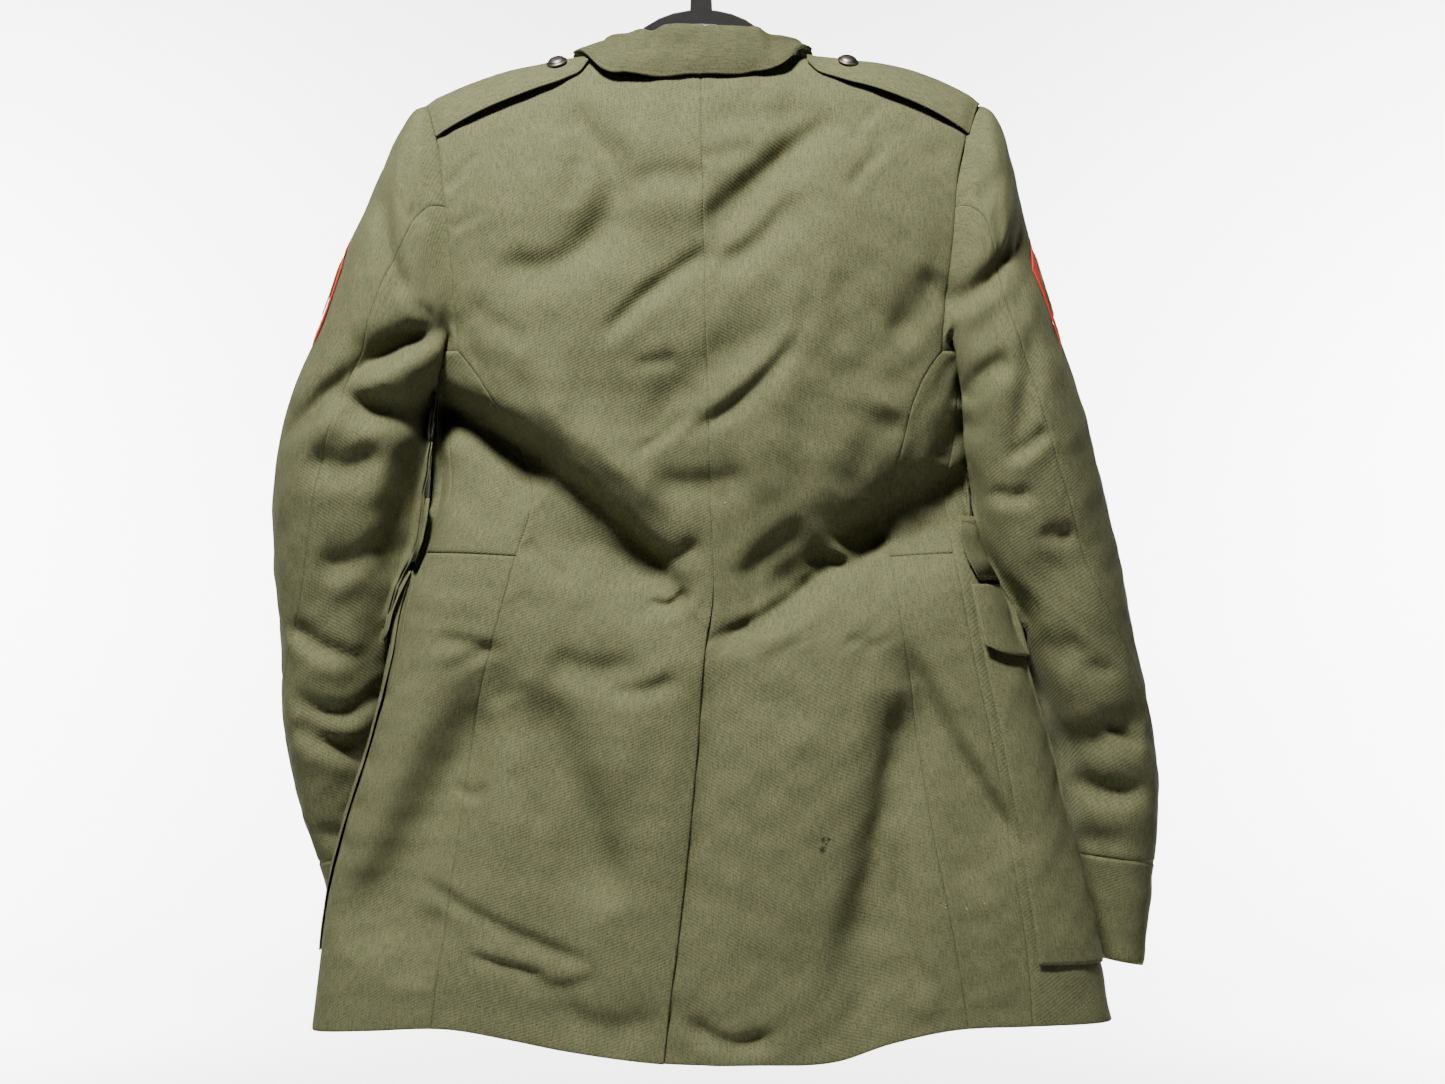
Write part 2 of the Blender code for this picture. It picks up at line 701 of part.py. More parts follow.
def collar_lines(count=COLLAR_ROWS):
    """Seam, crest and edge of the collar from the left end over the neck to the right end."""
    along = np.linspace(-1, 1, count + 1)
    side = np.where(along < 0, -1.0, 1.0)
    at = np.abs(along)
    seam_x = side * follow(COLLAR, "seam_x", at) + NECK_SHIFT * (1 - at)
    seam, seam_way = shoulder(seam_x, follow(COLLAR, "seam_q", at))
    edge_x = side * follow(COLLAR, "edge_x", at) + COLLAR_SHIFT * np.sin(math.pi * at)
    edge, edge_way = shoulder(edge_x, follow(COLLAR, "edge_q", at))
    stand = follow(COLLAR, "stand", at)[:, None]
    lean = unit(seam_way * np.array([1, 1, 0]) + 1e-6)
    return seam, seam_way, stand, lean, edge, edge_way


def make_collar(paint):
    seam, seam_way, stand, lean, edge, edge_way = collar_lines()
    up = np.array([0, 0, 1.0])
    base = seam + seam_way * (WALL + 2 * REST)
    high = np.array([0, 0.5, 1.0])[None, :, None]
    stand_place = base[:, None] + high * (stand[:, None] * up + 0.12 * stand[:, None] * lean[:, None])
    way = np.broadcast_to(lean[:, None], stand_place.shape)
    shell("collar_stand", stand_place, way, WALL, paint)
    top = stand_place[:, -1]
    outer = edge + edge_way * COLLAR_LIFT
    # The fall turns over the stand: an arc round its top, then a straight run to the edge.
    turn = np.radians([-80, -35, 10, 55])
    radius = WALL / 2 + REST + WALL
    middle = top - lean * WALL / 2
    arc = middle[:, None] + radius * (
        np.sin(turn)[None, :, None] * lean[:, None] + np.cos(turn)[None, :, None] * up
    )
    arc_way = np.sin(turn)[None, :, None] * lean[:, None] + np.cos(turn)[None, :, None] * up
    run = np.array([0.2, 0.45, 0.72, 1.0])[None, :, None]
    begin = middle + radius * lean
    full = 2.0 * np.sin(np.pi * run) * lean[:, None]
    fall = begin[:, None] * (1 - run) + outer[:, None] * run + full
    slant = unit(outer - begin)
    around = unit(np.gradient(begin, axis=0))
    fall_way = unit(np.cross(around, slant))
    fall_way = fall_way * np.sign((fall_way * lean).sum(-1, keepdims=True))
    place = np.concatenate([arc, fall], axis=1)
    way = np.concatenate([arc_way, np.broadcast_to(fall_way[:, None], fall.shape)], axis=1)
    shell("collar_fall", place, way, WALL, paint)


def make_lapel(side, paint):
    levels = np.linspace(LAPEL["level"][0], LAPEL["level"][-1], 9)[:, None]
    inner = sided(FRONT_EDGE, side, levels) + side * 0.5
    outer = side * np.interp(-levels, -LAPEL["level"], LAPEL["outer"])
    share = np.linspace(0, 1, 5)[None, :]
    x = inner + share * (outer - inner)
    place, way = face(x, np.broadcast_to(levels, x.shape), True)
    roll = 1.6 * np.sin(np.pi * np.clip(share * 1.6, 0, 1))
    lift = (WALL + REST + roll) * np.ones_like(x)
    shell(f"lapel_{side_name(side)}", place + way * lift[..., None], way, WALL - 0.4, paint)


def strap_places(side, along, share):
    """Outer places of a shoulder strap, which stands off the shoulder between its ends."""
    back, front = follow(STRAP, "back", along), follow(STRAP, "front", along)
    q = back + share * (front - back)
    across = side * (follow(STRAP, "across", along) - STRAP_SLANT * np.abs(q) * (1 - along))
    place, way = shoulder(across + NECK_SHIFT * (side > 0), q)
    stand_off = follow(STRAP, "lift", along) * (1.25 - 0.5 * share)
    return place + way * (STRAP_WALL + REST + stand_off)[..., None], way


def make_strap(side, paint):
    along = np.linspace(0, 1, STRAP_ROWS + 1)[:, None]
    share = np.linspace(0, 1, STRAP_COLUMNS + 1)[None, :]
    place, way = strap_places(side, *np.broadcast_arrays(along, share))
    shell(f"strap_{side_name(side)}", place, way, STRAP_WALL, paint)
    spot, way = strap_places(side, np.array([STRAP_BUTTON]), np.array([0.45]))
    button(f"strap_button_{side_name(side)}", spot[0] + way[0] * 0.9, way[0], 8.0)


def button(name, spot, way, radius):
    """A plain domed button that stands at a place and looks along its way."""
    way = way / np.linalg.norm(way)
    first = np.cross(way, [0.0, 0.0, 1.0])
    first = first / np.linalg.norm(first)
    second = np.cross(way, first)
    turn = np.arange(BUTTON_SIDES) * 2 * math.pi / BUTTON_SIDES
    circle = np.cos(turn)[:, None] * first + np.sin(turn)[:, None] * second
    points, faces = [], []
    rings = len(DOME["out"]) - 1
    for out, up in zip(DOME["out"][:rings], DOME["up"][:rings]):
        points.extend(spot + radius * (out * circle + up * way))
    points.append(spot + radius * DOME["up"][rings] * way)
    points.append(spot)
    for k in range(BUTTON_SIDES):
        n = (k + 1) % BUTTON_SIDES
        for r in range(rings - 1):
            a, b = r * BUTTON_SIDES, (r + 1) * BUTTON_SIDES
            faces.append((a + k, a + n, b + n, b + k))
        faces.append(((rings - 1) * BUTTON_SIDES + k, (rings - 1) * BUTTON_SIDES + n, len(points) - 2))
        faces.append((n, k, len(points) - 1))
    return solid(name, points, faces, PAINT["button"])


def pocket_strip(side, top, bottom, rows, columns, inset, wide):
    """A grid on the coat's ring that starts at the side seam and runs forward."""
    level = np.linspace(top, bottom, rows + 1)
    start = back_angle(sided(SIDE_EDGE, side, level), level)
    start = round_the_ring(side, start, level, inset)
    stop = round_the_ring(side, start, level, wide)
    share = np.linspace(0, 1, columns + 1)[None, :]
    angle = start[:, None] + share * (stop - start)[:, None]
    place, way = ring(side, angle, level[:, None])
    place, way = ring(side, angle, level[:, None] + SIDE_TILT * place[..., 0])
    return place, way, share


def make_pocket(side):
    place, way, share = pocket_strip(side, POCKET_TOP, POCKET_BOTTOM, 9, POCKET_COLUMNS, 7, POCKET_WIDE)
    down = np.linspace(0, 1, 10)[:, None]
    puff = 3.5 * (np.sin(np.pi * share) * np.sin(np.pi * down)).clip(0, 1) ** 0.5
    full = folded(place, way) + way * (POCKET_LIFT + puff)[..., None]
    shell(f"pocket_{side_name(side)}", full, way, THIN, PAINT["cloth"])
    top = POCKET_TOP + 6
    place, way, share = pocket_strip(side, top, top - FLAP_DEEP, 4, POCKET_COLUMNS, 5, POCKET_WIDE + 5)
    down = np.linspace(0, 1, 5)[:, None]
    tuck = 9 * down**3 * (np.abs(2 * share - 1) ** 6)
    lift = POCKET_LIFT + THIN + 2 * REST + 4.4 * ease(down, -0.15, 0.7) + 0 * share
    full = folded(place, way) + way * lift[..., None] + np.array([0, 0, 1.0]) * tuck[..., None]
    shell(f"flap_{side_name(side)}", full, way, THIN, PAINT["cloth"])
    middle = POCKET_COLUMNS // 2
    spot = full[3, middle] + way[3, middle] * 2.2
    button(f"flap_button_{side_name(side)}", spot, way[3, middle], 8.0)


def belt_strip(side, from_angle, to_angle, lift, wide, columns):
    """A length of belt on the ring, with the lift at each column."""
    share = np.linspace(0, 1, columns + 1)
    high = np.linspace(wide / 2, -wide / 2, 4)[:, None]
    level = BELT_LEVEL + high + 0 * share[None, :]
    angle = (from_angle + share * (to_angle - from_angle))[None, :] + 0 * level
    place, way = ring(side, angle, level)
    place, way = ring(side, angle, level + BELT_TILT * place[..., 0])
    return place + way * lift[None, :, None], way


def make_belt():
    columns = 14
    steps = np.linspace(0, 1, columns + 1)
    for side, paint in ((-1, PAINT["cloth"]), (1, PAINT["cloth"])):
        start = float(back_angle(sided(SIDE_EDGE, side, BELT_LEVEL), BELT_LEVEL)) + 0.06
        lift = WALL + BELT_ROOM + 0 * steps
        place, way = belt_strip(side, start, math.pi, lift, BELT_WIDE, columns)
        if side < 0:
            shell("belt_left", place[:, :-1], way[:, :-1], WALL, paint)
            continue
        # The right end crosses the middle over the left end and lies on it.
        over, over_way = belt_strip(-1, math.pi, math.pi - 0.75, lift[:6], BELT_WIDE, 5)
        place = np.concatenate([place[:, :-1], over], axis=1)
        way = np.concatenate([way[:, :-1], over_way], axis=1)
        x = place[..., 0]
        place = place + way * (3.0 * ease(42 - x, 0, 26))[..., None]
        shell("belt_right", place, way, WALL, paint)
    make_buckle()


def make_buckle():
    """A plain open frame over the belt, with a straight prong."""
    x0, front = 12.0, True
    spot, way = face(np.array([x0]), np.array([BELT_LEVEL]), front)
    centre = spot[0] + way[0] * (WALL * 3 + BELT_ROOM + 2.0) + np.array([0, 0, BELT_TILT * x0])
    high = np.array([0, 0, 1.0])
    out = way[0] / np.linalg.norm(way[0])
    wide = np.cross(high, out)
    half_w, half_h, bar, deep = 24.0, 31.0, 5.0, 3.0
    corners = [(-1, -1), (1, -1), (1, 1), (-1, 1)]
    points, faces = [], []
    for sx, sz in corners:
        for trim in (0.0, bar):
            for level in (0.0, deep):
                points.append(centre + wide * sx * (half_w - trim) + high * sz * (half_h - trim)
                              + out * level)
    for k in range(4):
        a, b = 4 * k, 4 * ((k + 1) % 4)
        faces += [(a, b, b + 1, a + 1), (a + 1, b + 1, b + 3, a + 3), (a + 3, b + 3, b + 2, a + 2),
                  (a + 2, b + 2, b, a)]
    solid("belt_buckle", points, faces, PAINT["brass"], smooth=False)
    points = []
    for sx in (-1, 1):
        for sz in (-1, 1):
            for level in (deep + 0.2, deep + 2.4):
                points.append(centre + wide * sx * (half_w - 1) + high * sz * 1.6 + out * level)
    faces = [(0, 1, 3, 2), (4, 6, 7, 5), (0, 4, 5, 1), (2, 3, 7, 6), (0, 2, 6, 4), (1, 5, 7, 3)]
    solid("belt_prong", points, faces, PAINT["brass"], smooth=False)


def make_chevron(side):
    """A red patch that points up, with one green stripe on it, on the outer arm."""
    half = 35.0
    for name, trim, high, lift, paint in (
        ("chevron_base", 0.0, 0.98, THIN + 1.8, PAINT["red"]),
        ("chevron_stripe", 5.0, 0.42, 2 * THIN + 2.6, PAINT["green"]),
    ):
        share = np.linspace(-1, 1, 9)[None, :]
        rear = 9.0 if side < 0 else 14.0
        middle = rear - half
        angle = middle + share * (half - trim)
        low = np.linspace(0, 1, 4)[:, None]
        start = 3.35 + (1 - high) * 0.5 - 0.62 * (1 - np.abs(share) * (half - trim) / half)
        along = start + low * high
        place, way = arm(side, along, np.broadcast_to(angle, along.shape))
        full = folded(place, way, lift)
        shell(f"{name}_{side_name(side)}", full, way, THIN, paint)


def make_hanger():
    """Thin flat arms with a raised middle, and a wire hook whose inner top is the origin."""
    across = np.linspace(HANGER_LINE["across"][0], HANGER_LINE["across"][-1], 37)
    stub = STUB_MIDDLE + np.array([-STUB_HALF - 0.6, -STUB_HALF, STUB_HALF, STUB_HALF + 0.6])
    across = across[np.abs(across - STUB_MIDDLE) > STUB_HALF + 2.5]
    across = np.sort(np.concatenate([across, stub, [STUB_MIDDLE]]))
    high = follow(HANGER_LINE, "height", across)
    slope = np.gradient(high, across) * (np.abs(across - STUB_MIDDLE) > STUB_HALF + 1)
    down = np.stack([slope, 0 * slope, -np.ones_like(slope)], -1)
    down = down / np.linalg.norm(down, axis=1)[:, None]
    points, faces = [], []
    trim = 1.2
    outline = [(-0.5, trim), (-0.5 + trim / HANGER_DEEP, 0), (0.5 - trim / HANGER_DEEP, 0),
               (0.5, trim), (0.5, HANGER_HIGH), (-0.5, HANGER_HIGH)]
    for x, z, way in zip(across, high, down):
        rise = STUB_TOP - z if abs(x - STUB_MIDDLE) < STUB_HALF + 0.1 else 0.0
        for wide, low in outline:
            lift = rise if low <= trim else 0.0
            points.append(np.array([x, wide * HANGER_DEEP, z + lift]) + way * low)
    count = len(outline)
    for r in range(len(across) - 1):
        for k in range(count):
            n = (k + 1) % count
            faces.append((r * count + k, r * count + n, (r + 1) * count + n, (r + 1) * count + k))
    faces.append(tuple(reversed(range(count))))
    faces.append(tuple(len(points) - count + k for k in range(count)))
    solid("hanger_body", points, faces, PAINT["hanger"])


def make_hook():
    """A wire that rises from the hanger's middle and turns over; the rail bears at the origin."""
    foot, knee = STUB_TOP + SEAM, STUB_TOP + 4
    middle = -(HOOK_RADIUS - WIRE)
    line = [np.array([2.0, 0, foot]), np.array([2.0, 0, knee])]
    turn = np.radians(np.linspace(-62, 208, HOOK_STEPS))
    for angle in turn:
        line.append(np.array([math.cos(angle), 0, math.sin(angle)]) * HOOK_RADIUS
                    + np.array([0, 0, middle]))
    line = np.array(line)
    run = unit(np.gradient(line, axis=0))
    points, faces = [], []
    around = np.arange(WIRE_SIDES) * 2 * math.pi / WIRE_SIDES
    for place, way in zip(line, run):
        first = np.array([0.0, 1.0, 0.0])
        second = np.cross(way, first)
        for a in around:
            points.append(place + WIRE * (math.cos(a) * first + math.sin(a) * second))
    for r in range(len(line) - 1):
        for k in range(WIRE_SIDES):
            n = (k + 1) % WIRE_SIDES
            faces.append((r * WIRE_SIDES + k, r * WIRE_SIDES + n, (r + 1) * WIRE_SIDES + n,
                          (r + 1) * WIRE_SIDES + k))
    faces.append(tuple(reversed(range(WIRE_SIDES))))
    faces.append(tuple(len(points) - WIRE_SIDES + k for k in range(WIRE_SIDES)))
    solid("hanger_hook", points, faces, PAINT["steel"])


def paint(name, colour, roughness, metallic=0.0):
    material = bpy.data.materials.new(name)
    material.use_nodes = True
    surface = material.node_tree.nodes["Principled BSDF"]
    surface.inputs["Base Color"].default_value = (*colour, 1.0)
    surface.inputs["Roughness"].default_value = roughness
    surface.inputs["Metallic"].default_value = metallic
    material.diffuse_color = (*colour, 1.0)
    return material


def make_body():
    cloth = PAINT["cloth"]
    levels = lower_levels()
    above = levels[: WAIST_ROWS + 1].copy()
    below = levels[WAIST_ROWS:].copy()
    above[-1] += SEAM / 2
    below[0] -= SEAM / 2
    for side in (-1, 1):
        name = side_name(side)
        place, way, lift = back_grid(side)
        shell(f"back_{name}", folded(place, way, lift), way, WALL, cloth)
        place, way, lift, present = front_grid(side)
        shell(f"front_{name}", folded(place, way, lift), way, WALL, cloth, present=present)
        for part, rows in (("side_upper", above), ("side_lower", below)):
            place, way = side_grid(side, rows)
            shell(f"{part}_{name}", folded(place, way), way, WALL, cloth)
        make_lapel(side, cloth)
        make_strap(side, cloth)
        make_pocket(side)


def make_arms():
    cloth = PAINT["cloth"]
    for side in (-1, 1):
        name = side_name(side)
        along = CUFF_FROM * np.linspace(0, 1, ARM_ROWS + 1) ** 1.12
        gap = np.degrees(SEAM / 2 / 36)
        back = follow(ARM_SEAM, "back", along)
        front = follow(ARM_SEAM, "front", along)
        place, way = arm_grid(side, front - 360 + gap, back - gap, along)
        shell(f"sleeve_upper_{name}", folded(place, way), way, WALL, cloth)
        place, way = arm_grid(side, back + gap, front - gap, along)
        shell(f"sleeve_under_{name}", folded(place, way), way, WALL, cloth)
        steps = np.linspace(0, 1, ARM_COLUMNS + 1)
        upper = front[-1] - 360 + gap + steps * (back[-1] - front[-1] + 360 - 2 * gap)
        under = back[-1] + gap + steps * (front[-1] - back[-1] - 2 * gap)
        angle = np.concatenate([upper, under])[None, :]
        rows = np.linspace(CUFF_FROM + 0.02, 12, CUFF_ROWS + 1)[:, None]
        rows, angle = np.broadcast_arrays(rows, angle)
        place, way = arm(side, rows, angle)
        shell(f"cuff_{name}", folded(place, way), way, WALL, cloth, around=True)
        make_chevron(side)


def make_front_buttons():
    for i in range(len(BUTTONS["x"])):
        spot, way = face(np.array([BUTTONS["x"][i]]), np.array([BUTTONS["level"][i]]), True)
        button(f"front_button_{i + 1}", spot[0] + way[0] * 1.8, way[0], BUTTONS["radius"][i])


for thing in list(bpy.data.objects):
    bpy.data.objects.remove(thing, do_unlink=True)

PAINT = {
    "cloth": paint("olive_cloth", (0.165, 0.160, 0.088), 0.92),
    "red": paint("red_cloth", (0.52, 0.050, 0.035), 0.85),
    "green": paint("green_cloth", (0.10, 0.13, 0.05), 0.88),
    "button": paint("button_metal", (0.27, 0.25, 0.25), 0.42, 0.8),
    "brass": paint("buckle_brass", (0.62, 0.45, 0.20), 0.35, 1.0),
    "hanger": paint("hanger_black", (0.028, 0.025, 0.025), 0.9),
    "steel": paint("hook_steel", (0.60, 0.60, 0.60), 0.28, 1.0),
}
make_body()
make_arms()
make_collar(PAINT["cloth"])
make_belt()
make_front_buttons()
make_hanger()
make_hook()
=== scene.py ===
"""Looks of the military dress jacket on its hanger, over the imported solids.

The cloth pieces are fine shells on the same form as the solids: a plan ring at each height, closed over
the shoulders by a roll, and two arms beside it. All sizes below are in millimetres and are made metres
when a mesh is made. The photographed back faces -Y, the wearer's left is at -X and +Z is up.
"""

import math

import bpy
import numpy as np
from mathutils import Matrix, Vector


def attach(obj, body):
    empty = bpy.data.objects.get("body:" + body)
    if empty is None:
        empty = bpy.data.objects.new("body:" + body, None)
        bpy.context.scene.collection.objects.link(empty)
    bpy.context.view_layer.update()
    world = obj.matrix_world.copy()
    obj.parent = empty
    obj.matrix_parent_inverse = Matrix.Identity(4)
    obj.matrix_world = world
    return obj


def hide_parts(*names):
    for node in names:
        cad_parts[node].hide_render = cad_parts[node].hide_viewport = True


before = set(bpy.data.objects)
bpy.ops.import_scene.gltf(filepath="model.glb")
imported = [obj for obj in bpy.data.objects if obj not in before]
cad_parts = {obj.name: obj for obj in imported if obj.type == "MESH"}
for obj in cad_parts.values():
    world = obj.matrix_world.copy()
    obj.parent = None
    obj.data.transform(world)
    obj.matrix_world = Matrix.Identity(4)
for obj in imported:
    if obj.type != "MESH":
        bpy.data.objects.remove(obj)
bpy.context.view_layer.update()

MM = 0.001
UP = np.array([0.0, 0.0, 1.0])
INWARD = np.array([0.0, 1.0, 0.0])  # from the photographed back into the coat
SHEETS = []  # what each cloth piece was cut to, its area, how it is held and what it rests on
GRIDS = {}  # outer places and the way out, by node, for the sewing that lies on them
WALL = 2.0  # cloth with its lining and canvas
THIN = 1.0  # flaps, patches and chevrons
SEAM = -0.5  # sewn edges run a little under each other
REST = 0.35  # space under a piece that lies on another
RIDGE_GAP = 0.2  # half the space at the shoulder seams
UNDER = 2.9  # how far an underlap sinks below the piece over it
LAP_WIDE, LAP_SLOPE = 40.0, 12.0  # the right back lies sunk this far from the centre, and its slope
LAP_LEVELS = (480.0, 535.0)  # below these it begins to sink and has sunk
FRONT_LAP, FRONT_SLOPE = 56.0, 18.0  # the same for the right front under the left
FRONT_LEVELS = (262.0, 318.0)
TIP_LEVEL = -141.0  # where the armhole begins at the shoulder
HOLE_POINTS, UNDER_POINTS = 60, 42  # on the armhole's back or front edge, and under the arm

CHEST = -330.0  # level of the armholes' lowest point
WAIST = -487.0  # level of the short waist seams
HEM_LEVEL = -850.0
ROLL = 110.0  # height in which the shoulder rolls over into the back
SQUARE_BACK = 2.5  # 2 is an ellipse in plan, more is squarer
SQUARE_FRONT = 2.15
SQUARE_ARM = 2.15
SQUARE_ARMPIT = 1.3
SIDE_REACH = 55.0  # how far a radian of the ring reaches at the side seams

UPPER_ROWS = 98
WAIST_ROWS = 62
SKIRT_ROWS = 134
BACK_COLUMNS = 96
FRONT_COLUMNS = 56
WRAP_COLUMNS = 20
SIDE_COLUMNS = 22
ARM_ROWS = 190
ARM_COLUMNS = 56
CUFF_ROWS = 24
CUFF_FROM, CUFF_TO = 10.85, 12.0  # rows of the arm's table
ARM_STEP = 0.02
ARM_CLOSER = 1.06
ARM_RADIUS = 36
CLOSE = 0.7  # how much closer a grid's lines lie at its edges
EVEN_CLOSE = 0.5  # the same for the skirt, the straps and the collar's fall
TOP_CLOSER = 1.75  # how much closer they lie at the shoulder
RING_STEPS = 400
RING_END = 0.02  # the ring's angle stops this far before the centre front
RISE_CALM = 80.0  # from the chest to this far above it, the way out comes to lean up
RIDGE_CALM = 4.0  # from the ridge to this far below it, it turns from upward to outward

# Folds: points on a line, how far its sides reach in half-widths, where it fades, and its lip.
FOLD_POINTS = 13
FOLD_REACH = 3.8
FADE_FROM, FADE_FULL = -0.05, 0.22
LIP_AWAY = 1.6
LIP_WIDE = 1.1
FACING_FROM, FACING = 0.05, 0.45  # how squarely a face looks back as a fold begins and is full

# Slight unevenness of the cloth, and how it stops at edges.
RIPPLE_WAVES = 12
RIPPLE_SIZE, RIPPLE_HIGH = 42.0, 0.45
RIPPLE_SPREAD = (0.5, 1.6)
RIPPLE_SINK = 0.25
EDGE_CALM = 14.0
EDGE_TURN = 0.3  # share of the wall by which a cut edge is rounded

# Sewn seams: the groove, and the puckers along it.
GROOVE_DEEP, GROOVE_WIDE = 0.5, 1.5
PUCKER_WAVES, PUCKER_PHASE = 4, 6.3
PUCKER_LENGTHS = (9, 24)
PUCKER_HIGH, PUCKER_START, PUCKER_REACH = 0.10, 1.2, 9.0


def table(columns, rows):
    """A short table as named arrays, one for each column."""
    data = np.array(rows, float)
    return {name: data[:, i] for i, name in enumerate(columns.split())}


# Plan rings: half-widths left and right, how far back and front lie from the middle plane, and where
# the widest line lies, behind it below zero.
BODY = table("level left right back front widest", [
    (-90, 242, 242, 54, 50, 0),
    (-141, 240, 240, 58, 54, 0),
    (-200, 236, 236, 68, 62, 0),
    (-260, 226, 226, 76, 70, 0),
    (-330, 207, 207, 79, 76, 0),
    (-400, 207, 206, 75, 77, 0),
    (-450, 209, 208, 68, 74, -2),
    (-482, 215, 213, 65, 72, -5),
    (-516, 229, 230, 68, 76, -9),
    (-565, 236, 244, 75, 77, -14),
    (-625, 249, 260, 82, 74, -20),
    (-693, 270, 277, 87, 70, -25),
    (-757, 285, 293, 90, 67, -28),
    (-805, 291, 305, 92, 65, -29),
    (-865, 298, 317, 93, 64, -30),
])
# Top line of the shoulders across the coat.
RIDGE = table("across height", [
    (-240, -160), (-212, -140), (-190, -131), (-168, -123), (-120, -110), (-74, -98), (-40, -89),
    (0, -85), (40, -90), (77, -100), (112, -106), (147, -112.5), (185, -124), (218, -140),
    (240, -158),
])
NECK = table("across height", [(0, -106), (30, -105), (55, -102), (70, -99.5), (76, -98.5)])
# Side-back seam: where the back pieces end below the armholes.
BACK_EDGE = table("level left right", [
    (-330, -184, 184), (-345, -172, 173), (-365, -159, 163), (-405, -140, 153), (-446, -130, 146),
    (-492, -141, 146), (-524, -149, 150), (-586, -165, 160), (-640, -176, 168), (-728, -187, 181),
    (-810, -196, 195), (-865, -202, 203),
])
ARMHOLE = table("level left right", [
    (-141, -212, 218), (-158, -206, 207), (-178, -200, 202), (-200, -197, 197), (-250, -191, 192),
    (-285, -188, 188), (-330, -184, 184),
])
SIDE_EDGE = table("level left right", [
    (-330, -199, 199), (-400, -196, 194), (-443, -193, 188), (-470, -204, 191), (-500, -218, 196),
    (-530, -225, 201), (-565, -230, 207), (-625, -246, 219), (-680, -262, 229), (-740, -280, 238),
    (-800, -293, 246), (-865, -300, 250),
])
# Centre seam, and below the vent's top the edge of the left piece.
CENTRE = table("level across", [
    (-100, 0), (-295, 4), (-440, 8), (-518, 9), (-545, 4.5), (-625, -2), (-687, -8), (-750, -15),
    (-804, -22), (-865, -28.5),
])
VENT_LAP = table("level lap", [(-536, 0), (-541, 4), (-556, 30), (-600, 36), (-865, 38)])
# Roll line of the lapels, then the lapped front edges, for the left and the right front.
FRONT_EDGE = table("level left right", [
    (-98, -76, 76), (-112, -68, 68), (-150, -56, 56), (-200, -43, 43), (-260, -27, 27),
    (-310, -11, 12), (-335, 2, 0), (-350, 13, -12), (-368, 20, -20), (-420, 21, -21),
    (-865, 21, -21),
])
CORNER = table("level across", [(-330, 184), (-400, 180), (-480, 184), (-565, 206), (-865, 262)])
HEM = table("across back front", [
    (-305, -847, -847), (-250, -842, -846), (-186, -839, -846), (-141, -846, -848),
    (-100, -854, -850), (-30, -863, -851), (40, -864, -851), (105, -861, -850), (142, -849, -848),
    (184, -840, -845), (250, -838, -843), (318, -839, -839),
])
# Arms: outer and inner rail seen from behind, the middle in depth and half the depth.
ARM_COLUMN_NAMES = "along outer outer_z inner inner_z middle half turn"
ARM = {
    -1: table(ARM_COLUMN_NAMES, [
        (0, -213, -142, -186, -328, 0, 50, 0),
        (1, -228, -149, -188, -329, -1, 57, 0),
        (2, -245, -188, -190, -336, -1, 62, 0),
        (3, -269, -241, -193, -345, 0, 66, 0),
        (4, -291, -303, -196, -362, 2, 69, 0),
        (5, -317, -365, -197, -388, 4, 70, 1),
        (6, -330, -427, -203, -436, 9, 68, 4),
        (7, -331, -489, -213, -491, 16, 65, 8),
        (8, -326, -551, -226, -549, 24, 62, 11),
        (9, -323, -613, -243, -609, 32, 60, 14),
        (10, -312, -675, -245, -668, 46, 58, 17),
        (11, -292, -737, -232, -728, 60, 57, 20),
        (12, -279, -806, -222, -797, 70, 56, 22),
    ]),
    1: table(ARM_COLUMN_NAMES, [
        (0, 219, -143, 185, -328, 0, 50, 0),
        (1, 231, -150, 187, -329, -1, 57, 0),
        (2, 242, -190, 189, -336, -1, 62, 0),
        (3, 253, -241, 191, -345, 0, 66, 0),
        (4, 272, -303, 193, -362, 2, 69, 0),
        (5, 294, -365, 193, -390, 4, 70, 1),
        (6, 310, -427, 198, -436, 8, 68, 4),
        (7, 325, -489, 212, -491, 14, 65, 7),
        (8, 337, -551, 236, -549, 22, 62, 10),
        (9, 350, -613, 257, -609, 32, 60, 14),
        (10, 356, -675, 274, -668, 42, 58, 17),
        (11, 350, -737, 282, -728, 52, 57, 20),
        (12, 341, -808, 284, -797, 60, 57, 22),
    ]),
}
ARM_HEAD = 2.8  # the sleeve's head stands this far above the shoulder
HEAD_TURN = (0.55, 0.95)  # cosines on the armhole between which the head rises
HEAD_ROWS = (0.3, 2.2)  # rows of the arm's table over which it goes again
ARM_TUCK = 1.5  # the sleeve starts this far inside the armhole's edge
JOIN_FROM, JOIN_FULL = -0.2, 1.6  # rows from the armhole's form to the hanging arm's
ARMPIT_TURN = (-0.1, 0.4)  # cosines between which the arm grows squarer below
ARMPIT_ROWS = (1, 5)
ARM_ROOM = 0.8  # least space between an arm and the body, more beside the pockets
# More room at the waist and beside the flaps: how much, at what levels, and how far forward.
WAIST_ROOM, WAIST_LEVELS, WAIST_FRONT = 0.8, (395, 445), (-60, -20)
FLAP_ROOM, FLAP_LEVEL, FLAP_REACH, FLAP_SLOPE, FLAP_FRONT = 1.6, 548, 38, 20, (-30, 0)
ROOM_BY_DEPTH = 1.6  # where the body is thin, room counts against this share of its depth
ROOM_SOFT = 0.018  # how softly an arm is moved clear
LEAST_SHARE = 0.2
CLEAR_FROM, CLEAR_FULL = 20.0, 6.0  # it begins and is full this far above the chest
ARM_SEAM = table("along back front", [
    (0, 84, 256), (3, 78, 256), (6, 74, 256), (7.5, 67, 256), (8, 57, 256), (9, 38, 256),
    (10, 16, 256), (12, 12, 256),
])
FOLD_COLUMNS = "x0 z0 x1 z1 bend width depth lip skew"


